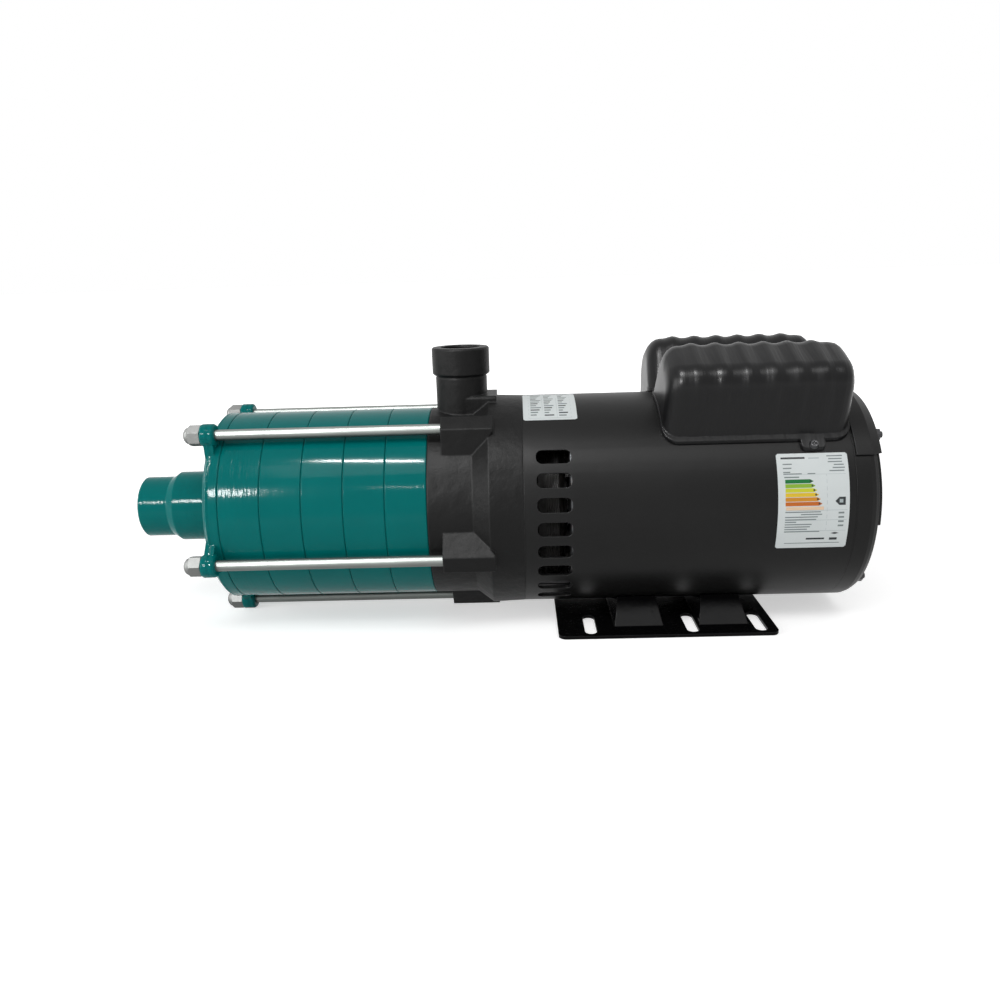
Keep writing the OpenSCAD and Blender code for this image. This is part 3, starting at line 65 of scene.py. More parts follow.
# %% Measure the frame
mm = 0.001
stages = 5
cover_band = 11.8 * mm  # width of the suction cover's cylinder, from the first seam to its front edge

shell_low, shell_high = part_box("motor_shell")
casing_low, casing_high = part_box("stage_casing_5")
shaft_h = (shell_low.z + shell_high.z) / 2
shell_r = (shell_high.z - shell_low.z) / 2
casing_r = (casing_high.z - casing_low.z) / 2
first_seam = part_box("suction_cover")[1].x
last_seam = casing_high.x
stage_pitch = (last_seam - first_seam) / stages
cover_edge = first_seam - cover_band
print("shaft height", round(shaft_h, 4), "shell radius", round(shell_r, 4))
print("casing radius", round(casing_r, 4), "stage pitch", round(stage_pitch, 5))

# %% [markdown]
# ## Shader arithmetic
#
# A material is a graph of nodes. Written out node by node, even a simple mask takes a dozen
# lines. Here one small class wraps an output socket, so that `1 - mask * 2` adds the nodes for
# that sum. A second class adds any other node with a single call, and a third holds one
# material, with the patterns that its finishes share.

# %% A socket that Python can calculate with
class Field:
    """One output in a graph. Sums and products of fields add the nodes that work them out."""

    def __init__(self, graph, socket):
        self.graph = graph
        self.socket = socket

    def combine(self, operation, first, second):
        fields = [v for v in (first, second) if isinstance(v, Field)]
        is_vector = any(f.socket.type == "VECTOR" for f in fields)
        kind = "ShaderNodeVectorMath" if is_vector else "ShaderNodeMath"
        return self.graph.add(kind, {"operation": operation}, {0: first, 1: second})

    def __add__(self, other):
        return self.combine("ADD", self, other)

    def __radd__(self, other):
        return self.combine("ADD", other, self)

    def __sub__(self, other):
        return self.combine("SUBTRACT", self, other)

    def __rsub__(self, other):
        return self.combine("SUBTRACT", other, self)

    def __mul__(self, other):
        return self.combine("MULTIPLY", self, other)

    def __rmul__(self, other):
        return self.combine("MULTIPLY", other, self)


print("fields can be added, subtracted and multiplied")


# %% A graph that adds its own nodes
class Graph:
    """The nodes of one material, or of the world."""

    def __init__(self, tree):
        self.tree = tree

    def add(self, kind, settings, values, output=0):
        """Adds a node: first its settings, then a value or a field for each of its sockets."""
        node = self.tree.nodes.new(kind)
        for name, value in settings.items():
            setattr(node, name, value)
        for name, value in values.items():
            self.feed(node.inputs[name], value)
        return Field(self, node.outputs[output])

    def feed(self, socket, value):
        if isinstance(value, Field):
            self.tree.links.new(value.socket, socket)
        elif hasattr(socket.default_value, "__len__") and not hasattr(value, "__len__"):
            socket.default_value = [value] * len(socket.default_value)
        else:
            socket.default_value = value

    def maths(self, operation, first, second=0.0):
        """A sum that has no sign in Python, such as the larger of two fields."""
        return self.add("ShaderNodeMath", {"operation": operation}, {0: first, 1: second})

    def step(self, field, low, high):
        """0 below low, 1 above high and a smooth rise between; with low above high, it falls."""
        return self.add("ShaderNodeMapRange", {"interpolation_type": "SMOOTHSTEP"},
                        {"Value": field, "From Min": low, "From Max": high})


print("a graph adds any node in one call")


# %% A material with the patterns that the finishes share
def srgb(red, green, blue):
    """A colour as a paint chart gives it, from 0 to 255, turned into light."""
    parts = [v / 255 for v in (red, green, blue)]
    return tuple(v / 12.92 if v <= 0.04045 else ((v + 0.055) / 1.055) ** 2.4 for v in parts) + (1.0,)


class Finish(Graph):
    """One material. Sizes are in metres on the part."""

    def __init__(self, name):
        self.material = bpy.data.materials.new(name)
        self.material.use_nodes = True
        super().__init__(self.material.node_tree)
        self.surface = self.tree.nodes["Principled BSDF"]
        self.place = self.add("ShaderNodeTexCoord", {}, {}, "Object")

    def noise(self, size, detail=2.0, roughness=0.5, place=None):
        """Cloudy noise from 0 to 1, with blobs of about the given size."""
        values = {"Vector": place or self.place, "Scale": 1 / size, "Detail": detail, "Roughness": roughness}
        return self.add("ShaderNodeTexNoise", {}, values, "Fac")

    def cells(self, size):
        """Distance to the nearest of many scattered points, in units of their spacing."""
        return self.add("ShaderNodeTexVoronoi", {}, {"Vector": self.place, "Scale": 1 / size}, "Distance")

    def blend(self, share, first, second):
        """A colour between two others."""
        return self.add("ShaderNodeMix", {"data_type": "RGBA"}, {0: share, 6: first, 7: second}, 2)

    def stretched(self, x, y, z):
        """The place on the part, scaled along each axis. Below 1, noise is drawn out into streaks."""
        return self.place * (x, y, z)

    def axes(self):
        """The place's X, Y and Z as three separate fields."""
        parts = self.add("ShaderNodeSeparateXYZ", {}, {0: self.place}).socket.node
        return [Field(self, parts.outputs[i]) for i in range(3)]

    def from_shaft(self):
        """Distance from the shaft's axis."""
        _, y, z = self.axes()
        rise = z - shaft_h
        return self.maths("SQRT", y * y + rise * rise)

    def soft_edges(self, radius):
        """The surface's direction with its sharp edges rounded over the given radius."""
        return self.add("ShaderNodeBevel", {"samples": 6}, {"Radius": radius})

    def edge_mask(self, radius, full_lean=0.06):
        """1 along outer and inner edges and 0 on the flats, from how far a rounded edge leans."""
        true_normal = self.add("ShaderNodeNewGeometry", {}, {}, "Normal")
        lean = self.add("ShaderNodeVectorMath", {"operation": "DOT_PRODUCT"},
                        {0: self.soft_edges(radius), 1: true_normal}, "Value")
        return self.step(1 - lean, 0.0, full_lean)

    def underside(self):
        """1 where the surface faces down and 0 where it faces up, for painting shade on undersides."""
        facing = self.add("ShaderNodeNewGeometry", {}, {}, "Normal")
        upward = self.add("ShaderNodeSeparateXYZ", {}, {0: facing}, 2)
        return 1 - self.step(upward, -0.7, 0.55)

    def relief(self, height, depth, normal=None):
        """The surface's direction once a height field has raised it, by the depth where it is 1."""
        values = {"Height": height, "Distance": depth, "Strength": 1.0}
        if normal is not None:
            values["Normal"] = normal
        return self.add("ShaderNodeBump", {}, values)

    def wears(self, **sockets):
        """Sets the surface's own sockets. Underscores in a name stand for spaces."""
        for name, value in sockets.items():
            self.feed(self.surface.inputs[name.replace("_", " ")], value)
        print(self.material.name, "has", len(self.tree.nodes), "nodes")
        return self.material


finishes = {}
print("a finish has blend, noise, edge_mask, relief and more")

# %% [markdown]
# ## Teal enamel
#
# The pump's casings are machined rings, painted in one go once they are stacked and clamped.
# So the gloss enamel runs over the seams and sinks into them a little, and each seam is painted
# as a fine dark line: a painted shade in its groove. The edges are painted a lighter teal, a
# painted highlight. Three kinds of unevenness break a straight highlight: the faint dimples of a
# sprayed coat, called orange peel, the lathe's chatter, which runs round the rings under the
# paint, and a slow swell. Round the front edge of the cover the paint has pulled back into
# small beads, which glint one above the other.
#
# Most of this is a few hundredths of a millimetre deep, and the beads are a few tenths. Real
# dents that fine would take millions of faces, so all of it is relief in the material.

# %% Teal enamel
def teal_enamel():
    paint = Finish("teal_enamel")
    x, _, _ = paint.axes()
    to_seam = paint.maths("PINGPONG", x - last_seam, stage_pitch / 2)
    is_side = paint.step(paint.from_shaft(), casing_r - 1.5 * mm, casing_r - 0.8 * mm)
    seam = (1 - paint.step(to_seam, 0.3 * mm, 1.1 * mm)) * is_side
    cloud = paint.noise(35 * mm, detail=3)
    deep_teal, light_teal = srgb(0, 98, 97), srgb(0, 109, 107)
    seam_shade_teal, edge_highlight_teal = srgb(0, 58, 60), srgb(6, 126, 120)
    colour = paint.blend(cloud, deep_teal, light_teal)
    # Each seam is painted a darker teal: a painted shade in its groove.
    colour = paint.blend(seam * 0.3, colour, seam_shade_teal)
    # The edges are painted a lighter teal: a painted highlight.
    colour = paint.blend(paint.edge_mask(1 * mm) * 0.22, colour, edge_highlight_teal)

    peel = paint.noise(1.6 * mm, detail=1, roughness=0.4)
    swell = paint.noise(9 * mm, detail=1, roughness=0.4)
    chatter = paint.noise(2.4 * mm, place=paint.stretched(1, 0.12, 0.12))
    front = 1 - paint.step(x, cover_edge + 25 * mm, cover_edge + 55 * mm)
    grit = paint.step(paint.cells(12 * mm), 0.05, 0.02)
    drops = paint.noise(2.8 * mm, detail=1, roughness=0.4, place=paint.stretched(0.25, 1, 1))
    to_edge = paint.maths("ABSOLUTE", x - cover_edge)
    beads = drops * (1 - paint.step(to_edge, 3 * mm, 5.5 * mm)) * is_side
    height = peel * 0.18 + swell * 0.4 + chatter * (0.5 + front * 3.5) + grit * 0.05 + beads * 14
    return paint.wears(Base_Color=colour, Roughness=0.08 + cloud * 0.05 + seam * 0.2,
                       Normal=paint.relief(height, 0.05 * mm, paint.soft_edges(1.1 * mm)),
                       Specular_IOR_Level=0.06)


finishes["teal_paint"] = teal_enamel()

# %% [markdown]
# ## Black paint, three ways
#
# The discharge body is cast iron under satin paint: the sand of its mould shows as a coarse
# grain, and the paint thins along its edges. Their paler grey is partly that wear and partly a
# painted highlight. The motor's shell is smooth sheet under powder coat, with a much finer and
# shallower texture. The foot is dipped in gloss black, which pools and ripples, so it mirrors
# the floor in soft patches.
#
# One black for all three would look like one piece of plastic. The colours hardly differ, so
# it is the grain's size and depth and the gloss that tell the three apart.

# %% Satin black over cast iron
def cast_black():
    paint = Finish("cast_black")
    sand = paint.noise(1.1 * mm, detail=4, roughness=0.6)
    lumps = paint.noise(11 * mm)
    pits = paint.step(sand, 0.42, 0.3)
    cloud = paint.noise(50 * mm, detail=3)
    deep_black, light_black = srgb(15, 15, 15), srgb(24, 24, 24)
    edge_wear_and_highlight_grey, pit_shade_black = srgb(66, 67, 67), srgb(12, 12, 12)
    colour = paint.blend(cloud, deep_black, light_black)
    # Paler grey along the edges: partly thinner, worn paint and partly a painted highlight.
    colour = paint.blend(paint.edge_mask(1.6 * mm) * 0.3, colour, edge_wear_and_highlight_grey)
    # The pits are painted darker: a painted shade in the grain's hollows.
    colour = paint.blend(pits * 0.35, colour, pit_shade_black)
    return paint.wears(Base_Color=colour, Roughness=0.38 + cloud * 0.12 + pits * 0.15,
                       Normal=paint.relief(sand * 0.22 + lumps * 0.9, 0.7 * mm, paint.soft_edges(1.8 * mm)),
                       Specular_IOR_Level=0.11)


finishes["black_casting"] = cast_black()


# %% Satin black powder coat on sheet
def powder_black():
    paint = Finish("powder_black")
    grain = paint.noise(0.7 * mm)
    waves = paint.noise(14 * mm, detail=1)
    cloud = paint.noise(60 * mm, detail=3)
    dust = paint.step(paint.noise(2.2 * mm, detail=3, roughness=0.7), 0.66, 0.78)
    x, _, _ = paint.axes()
    rear_seam_shadow = 1 - paint.step(paint.maths("ABSOLUTE", x - shell_high.x), 0.3 * mm, 1.2 * mm)
    front_seam_shadow = 1 - paint.step(paint.maths("ABSOLUTE", x - shell_low.x), 0.3 * mm, 1 * mm)
    deep_black, light_black = srgb(17, 17, 17), srgb(24, 24, 24)
    dust_grey, edge_wear_and_highlight_grey, seam_shadow_black = srgb(110, 108, 104), srgb(70, 71, 72), srgb(5, 5, 5)
    colour = paint.blend(cloud, deep_black, light_black)
    colour = paint.blend(dust * 0.06, colour, dust_grey)
    # Paler grey along the edges: partly worn coat and partly a painted highlight.
    colour = paint.blend(paint.edge_mask(0.8 * mm) * 0.3, colour, edge_wear_and_highlight_grey)
    # The shell's two joints are painted near black: a painted shadow in the seams.
    colour = paint.blend((rear_seam_shadow + front_seam_shadow) * 0.8, colour, seam_shadow_black)
    return paint.wears(Base_Color=colour, Roughness=0.34 + cloud * 0.08,
                       Normal=paint.relief(grain * 0.2 + waves * 0.5, 0.22 * mm, paint.soft_edges(0.7 * mm)),
                       Specular_IOR_Level=0.14)


finishes["black_shell"] = powder_black()


# %% Gloss black dip paint
def gloss_black():
    paint = Finish("gloss_black")
    ripple = paint.noise(12 * mm, roughness=0.45)
    fine = paint.noise(2.1 * mm)
    cloud = paint.noise(30 * mm, detail=3)
    scratches = paint.noise(4 * mm, detail=4, roughness=0.65, place=paint.stretched(1, 3.5, 1))
    scuff = paint.step(scratches, 0.6, 0.74)
    deep_black, light_black, edge_wear_and_highlight_grey = srgb(4, 4, 5), srgb(9, 9, 10), srgb(56, 56, 56)
    colour = paint.blend(cloud, deep_black, light_black)
    # Paler grey along the edges: partly worn paint and partly a painted highlight.
    colour = paint.blend(paint.edge_mask(0.9 * mm) * 0.2, colour, edge_wear_and_highlight_grey)
    return paint.wears(Base_Color=colour, Roughness=0.2 + scuff * 0.3 + cloud * 0.08,
                       Normal=paint.relief(ripple * 0.9 + fine * 0.12, 0.25 * mm, paint.soft_edges(0.8 * mm)),
                       Specular_IOR_Level=0.06)


finishes["gloss_black"] = gloss_black()

# %% [markdown]
# ## Metals
#
# A rod is drawn through a die and then plated, so it has fine lines along its length and dull
# patches where the zinc is thicker. A turned shaft has the opposite: fine rings around it, one
# for each turn of the lathe. Stamped laminations are thin sheets on edge, one every half
# millimetre. Pictures of such metals could be wrapped round the pieces, but they would blur
# from near and show where they start again. Noise that is drawn out along one axis does
# neither, and it turns into lines, rings or streaks by three numbers alone.

# %% Zinc plating, drawn and forged
def zinc(name, dull, bright, streak_along, roughness):
    """Zinc over steel. A small streak_along draws its lines out along X, as on a drawn rod."""
    metal = Finish(name)
    streaks = metal.noise(0.9 * mm, detail=3, roughness=0.6, place=metal.stretched(streak_along, 1, 1))
    dents = metal.noise(4 * mm, place=metal.stretched(streak_along, 1, 1))
    cloud = metal.noise(18 * mm, detail=3, roughness=0.6, place=metal.stretched(0.4, 1, 1))
    spots = metal.step(metal.noise(2.8 * mm, detail=3, roughness=0.6), 0.62, 0.74)
    spot_grey, underside_shade_grey = srgb(104, 102, 96), srgb(70, 72, 70)
    colour = metal.blend(cloud, dull, bright)
    colour = metal.blend(spots * 0.4, colour, spot_grey)
    # Undersides are painted a darker grey: a painted shade where the zinc faces down.
    colour = metal.blend(metal.underside() * 0.45, colour, underside_shade_grey)
    return metal.wears(Base_Color=colour, Metallic=1 - spots * 0.25,
                       Roughness=roughness + streaks * 0.14 + spots * 0.14,
                       Normal=metal.relief(streaks + dents * 4, 0.06 * mm, metal.soft_edges(0.6 * mm)))


finishes["zinc_rod"] = zinc("zinc_rod", dull=srgb(106, 110, 107), bright=srgb(136, 140, 137),
                            streak_along=0.04, roughness=0.36)
finishes["zinc_nut"] = zinc("zinc_nut", dull=srgb(100, 101, 100), bright=srgb(132, 133, 132),
                            streak_along=1.0, roughness=0.56)


# %% Turned and ground steel
def turned(name, low, high, pitch, depth, roughness):
    """Steel with fine rings round the shaft, and a few brownish stains."""
    metal = Finish(name)
    rings = metal.noise(pitch, roughness=0.6, place=metal.stretched(1, 0.06, 0.06))
    stain = metal.step(metal.noise(8 * mm, detail=4, roughness=0.65), 0.5, 0.72)
    stain_brown = srgb(104, 92, 78)
    colour = metal.blend(rings, low, high)
    colour = metal.blend(stain * 0.3, colour, stain_brown)
    return metal.wears(Base_Color=colour, Metallic=1.0, Roughness=roughness + stain * 0.18 + rings * 0.08,
                       Normal=metal.relief(rings, depth, metal.soft_edges(0.4 * mm)))


finishes["machined_steel"] = turned("machined_steel", srgb(150, 150, 150), srgb(190, 190, 188),
                                    pitch=0.5 * mm, depth=0.04 * mm, roughness=0.26)
finishes["bearing_steel"] = turned("bearing_steel", srgb(176, 177, 180), srgb(205, 206, 208),
                                   pitch=0.2 * mm, depth=0.01 * mm, roughness=0.12)


# %% Laminations
def laminations():
    """Sheets half a millimetre thick, with a dark gap between them and some rust."""
    metal = Finish("lamination_steel")
    x, _, _ = metal.axes()
    half_sheet = 0.25 * mm
    gap = 1 - metal.step(metal.maths("PINGPONG", x, half_sheet), 0.03 * mm, 0.1 * mm)
    rust = metal.step(metal.noise(6 * mm, detail=4, roughness=0.7), 0.52, 0.7)
    steel_grey, rust_brown, gap_black = srgb(92, 94, 96), srgb(96, 66, 44), srgb(24, 24, 26)
    colour = metal.blend(rust * 0.5, steel_grey, rust_brown)
    colour = metal.blend(gap * 0.7, colour, gap_black)
    return metal.wears(Base_Color=colour, Metallic=0.85 - rust * 0.6, Roughness=0.42 + rust * 0.3,
                       Normal=metal.relief(1 - gap, 0.08 * mm))


finishes["lamination_steel"] = laminations()


# %% Cast aluminium and black screws
def cast_metal(name, low, high, metallic, roughness, depth):
    metal = Finish(name)
    sand = metal.noise(0.9 * mm, detail=4, roughness=0.6)
    cloud = metal.noise(20 * mm, detail=3)
    colour = metal.blend(cloud, low, high)
    # The edges are painted in the paler colour: partly rubbed edges and partly a painted highlight.
    colour = metal.blend(metal.edge_mask(0.8 * mm) * 0.35, colour, high)
    return metal.wears(Base_Color=colour, Metallic=metallic, Roughness=roughness + sand * 0.12,
                       Normal=metal.relief(sand * 0.5 + cloud * 0.5, depth, metal.soft_edges(0.8 * mm)))


finishes["shield_aluminium"] = cast_metal("shield_aluminium", srgb(150, 152, 154), srgb(186, 188, 190),
                                          metallic=0.9, roughness=0.42, depth=0.4 * mm)
finishes["black_screw"] = cast_metal("black_screw", srgb(26, 26, 27), srgb(74, 74, 76),
                                     metallic=0.6, roughness=0.3, depth=0.08 * mm)

# %% [markdown]
# ## Windings
#
# A coil end is a bundle of enamelled wires, dipped in varnish and laced with cord. Each wire
# could be a curve of its own, but behind the vents nobody could count the thousands of them. So
# the wires are relief: they run around the ring, and their bump comes from the distance to the
# shaft and along it, waved by slow noise so that no wire is perfectly parallel. The varnish is
# nearly black and pools between them, so the coils show as little more than a dark brown gleam.

# %% Varnished copper
def varnished_copper():
    metal = Finish("copper_winding")
    x, _, _ = metal.axes()
    drift = metal.noise(20 * mm) * (4 * mm)
    wire_r = 0.6 * mm
    across = metal.maths("PINGPONG", x + metal.from_shaft() * 0.7 + drift, wire_r)
    wire = metal.step(across, 0.0, 0.55 * mm)
    varnish = metal.noise(7 * mm, detail=3, roughness=0.6)
    varnish_black, varnish_brown, gap_black = srgb(9, 8, 6), srgb(20, 15, 10), srgb(7, 6, 4)
    colour = metal.blend(varnish, varnish_black, varnish_brown)
    colour = metal.blend((1 - wire) * 0.8, colour, gap_black)
    return metal.wears(Base_Color=colour, Metallic=0.15, Roughness=0.34 + varnish * 0.2,
                       Normal=metal.relief(wire, 0.5 * mm), Coat_Weight=0.06, Coat_Roughness=0.2)


finishes["copper_winding"] = varnished_copper()

# %% [markdown]
# ## Plastics, rubber, ceramic and carbon
#
# A moulded piece is slightly uneven: its skin has a fine spark-eroded grain from the steel of
# the mould, and it sinks a little over thick places. The covers have shallow creases too, which
# run down their flanks from the ribs. Eight materials could be eight functions, but they would
# repeat each other. One function makes the whole family, and the colours, the grain's size and
# depth and the gloss are what sets them apart.

# %% The moulding of the covers
def moulded(name, low, high, grain_size, grain_depth, roughness,
            edge=0.2, speck=None, rounding=0.7 * mm, creases=0.0):
    """A moulding. edge says how pale its edges are painted, as a painted highlight, and creases how deep the
    folds are.
    """
    skin = Finish(name)
    cloud = skin.noise(25 * mm, detail=3)
    colour = skin.blend(cloud, low, high)
    if speck is not None:
        flecks = skin.noise(1.2 * mm, detail=3, roughness=0.7, place=skin.stretched(1, 0.3, 1))
        colour = skin.blend(skin.step(flecks, 0.6, 0.7) * 0.3, colour, speck)
    pale = tuple(min(1.0, c * 2.4) for c in high[:3]) + (1.0,)
    # The edges are painted paler: a painted highlight.
    colour = skin.blend(skin.edge_mask(0.9 * mm) * edge, colour, pale)
    height = skin.noise(grain_size) * 0.2 + skin.noise(20 * mm, detail=1) * 0.5
    if creases:
        height = height + skin.noise(5.5 * mm, place=skin.stretched(1, 0.1, 0.1)) * creases
    return skin.wears(Base_Color=colour, Roughness=roughness + cloud * 0.1,
                      Normal=skin.relief(height, grain_depth, skin.soft_edges(rounding)),
                      Specular_IOR_Level=0.18)


finishes["black_plastic"] = moulded("black_plastic", srgb(14, 14, 15), srgb(20, 20, 21),
                                    0.6 * mm, 0.1 * mm, 0.26, rounding=1.2 * mm, creases=7.0)

# %% The other plastics and the rubber
finishes["capacitor_can"] = moulded("capacitor_can", srgb(22, 22, 24), srgb(34, 34, 36),
                                    0.8 * mm, 0.1 * mm, 0.4)
finishes["dark_plastic"] = moulded("dark_plastic", srgb(44, 46, 50), srgb(60, 62, 66),
                                   0.8 * mm, 0.15 * mm, 0.45, speck=srgb(110, 112, 114))
finishes["pale_plastic"] = moulded("pale_plastic", srgb(196, 190, 172), srgb(216, 210, 192),
                                   0.9 * mm, 0.15 * mm, 0.4, edge=0.1, speck=srgb(160, 150, 128))
finishes["brown_phenolic"] = moulded("brown_phenolic", srgb(84, 48, 24), srgb(112, 68, 34),
                                     0.7 * mm, 0.1 * mm, 0.38, edge=0.15, speck=srgb(60, 30, 14))
finishes["rubber"] = moulded("rubber", srgb(22, 22, 22), srgb(34, 34, 34), 0.5 * mm, 0.1 * mm, 0.62)

# %% The two faces of the seal
finishes["seal_ceramic"] = moulded("seal_ceramic", srgb(226, 220, 206), srgb(240, 236, 226),
                                   0.4 * mm, 0.02 * mm, 0.14, edge=0.05)
finishes["seal_carbon"] = moulded("seal_carbon", srgb(40, 42, 45), srgb(62, 64, 68),
                                  0.6 * mm, 0.03 * mm, 0.3)
print(sorted(finishes))

# %% [markdown]
# ## Give each solid its finish
#
# The part's own record says which material each node is made of, under the same names as the
# finishes above. A list of pieces typed in here could miss one. So the script walks through the
# record, and no piece is forgotten.

# %% Dress the solids
for row in frame["record"]["subparts"]:
    piece = nodes[row["node"]]
    piece.data.materials.clear()
    piece.data.materials.append(finishes[row["material_slot"]])

# %% [markdown]
# ## The moulded form of the covers
#
# A solid is stored as flat facets. On the two ribbed covers they would show as fine bands, which
# a moulding never has. Subdividing the covers would hide the bands, but it would also change
# their shape. Three modifiers leave the shape alone and only even out its shading: one joins
# the facets' corners, one parts them again where the edge is really sharp, and the last lets
# the large facets lead the small ones.

# %% Even out the covers' shading
corner_reach = 0.01 * mm
sharp_from = math.radians(38)
area_weight = 60

for name in ("near_capacitor_cover", "far_capacitor_cover"):
    cover = nodes[name]
    cover.modifiers.new("join_corners", "WELD").merge_threshold = corner_reach
    cover.modifiers.new("part_sharp_edges", "EDGE_SPLIT").split_angle = sharp_from
    cover.modifiers.new("lead_by_area", "WEIGHTED_NORMAL").weight = area_weight
    print(name, "shaded as one moulding")

# %% [markdown]
# ## Pipe threads
#
# Both ports have a pipe thread of 11 turns to the inch, cut into the bore. The real one tapers,
# too little to see. A cutter could carve it out of the solid, but the solid has to stay as it
# is. It has a plain bore of the core size, so the thread is added as a thin sleeve: a lathed
# wall whose radius rises and falls along a helix. The crests stand a little way into the bore,
# and the sleeve fades out at its inner end, as a real thread runs out.

# %% A threaded sleeve
inch = 0.0254
thread_pitch = inch / 11
thread_depth = 1.1 * mm
thread_gap = 0.04 * mm  # keeps the sleeve's valleys clear of the bore's wall
thread_flat = 0.15  # share of the thread's height that is cut off at its crest, and at its valley
mouth_share = 0.35  # how much of its depth the thread has at the mouth
run_out_turns = 1.5
quads_around = 96
quads_per_turn = 8


def thread_height(along, share_of_turn, length):
    """0 in a valley and 1 on a crest, less at the mouth and fading out at the inner end."""
    run_out = min(1.0, (length - along) / thread_pitch / run_out_turns)
    run_in = min(1.0, mouth_share + along / thread_pitch)
    phase = (along / thread_pitch + share_of_turn) % 1.0
    crest = 1 - abs(2 * phase - 1)
    flat_topped = min(1.0, max(0.0, crest * (1 + 2 * thread_flat) - thread_flat))
    return run_out * run_in * flat_topped


def threaded_sleeve(name, core_r, length, direction, mouth, material):
    """A wall of quads from the mouth inward, whose radius follows a thread as it goes round."""
    rings = int(length / thread_pitch * quads_per_turn)
    turn_to_port = Vector((0, 0, 1)).rotation_difference(Vector(direction)).to_matrix()
    points, faces = [], []
    for k in range(rings + 1):
        along = length * k / rings
        for j in range(quads_around):
            share = j / quads_around
            r = core_r - thread_gap - thread_depth * thread_height(along, share, length)
            angle = 2 * math.pi * share
            point = Vector((r * math.cos(angle), r * math.sin(angle), -along))
            points.append(Vector(mouth) + turn_to_port @ point)
    for k in range(rings):
        for j in range(quads_around):
            a, b = k * quads_around + j, k * quads_around + (j + 1) % quads_around
            faces.append((a, b, b + quads_around, a + quads_around))
    mesh = bpy.data.meshes.new(name)
    mesh.from_pydata(points, [], faces)
    mesh.materials.append(material)
    mesh.shade_smooth()
    sleeve = bpy.data.objects.new(name, mesh)
    bpy.context.scene.collection.objects.link(sleeve)
    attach(sleeve, "pump_frame")
    return sleeve


print("thread pitch", round(thread_pitch, 6))

# %% The two threads, where the part's mounts are
behind_mouth = 0.6 * mm
short_of_end = 1 * mm
mounts = {m["name"]: m for m in frame["record"]["mounts"]}

for mount_name, slot_name in (("suction_port", "teal_paint"), ("discharge_port", "black_casting")):
    mount = mounts[mount_name]
    mouth = Vector(mount["pos_m"]) - Vector(mount["axis"]) * behind_mouth
    sleeve = threaded_sleeve(mount_name + "_thread", mount["dims"]["r_mm"] * mm,
                             mount["dims"]["length_mm"] * mm - short_of_end,
                             mount["axis"], mouth, finishes[slot_name])
    print(sleeve.name, len(sleeve.data.polygons), "faces")

# %% [markdown]
# ## Labels
#
# Two printed film labels sit on the shell: a small one for ratings near the front and a large
# energy label at the rear. Both are generic here: coloured bars and ruled grey lines stand for
# what is printed, with no lettering. The usual way is a picture on a flat sheet, but printed
# shapes of their own stay sharp from near and need no file. A label is a thin skin that follows
# the round shell. It is built row by row around the shaft, and each row is shortened near the
# corners to round them. Print is a second skin, 0.03 mm above the film.

# %% Printed film
def film(name, tint, roughness):
    """Printed film: nearly even, with faint waves where air was caught under it."""
    skin = Finish(name)
    waves = skin.noise(13 * mm)
    fibre = skin.noise(0.6 * mm, roughness=0.6)
    faded = tuple(c * 0.86 for c in tint[:3]) + (1.0,)
    colour = skin.blend(fibre * 0.5 + waves * 0.4, tint, faded)
    return skin.wears(Base_Color=colour, Roughness=roughness + waves * 0.15,
                      Normal=skin.relief(waves + fibre * 0.05, 0.3 * mm), Specular_IOR_Level=0.3)


paper = film("label_film", srgb(214, 220, 220), 0.34)
grey_ink = film("grey_ink", srgb(124, 134, 134), 0.42)
pale_ink = film("pale_ink", srgb(176, 186, 188), 0.42)
dark_ink = film("dark_ink", srgb(46, 50, 52), 0.4)

# %% Skins that follow the shell
film_lift = 0.12 * mm
print_lift = 0.15 * mm
rim_lift = 0.04 * mm  # the film's rim lies this near the shell
rim_width = 0.12 * mm
sheet_rows = 60
bar_rows = 8


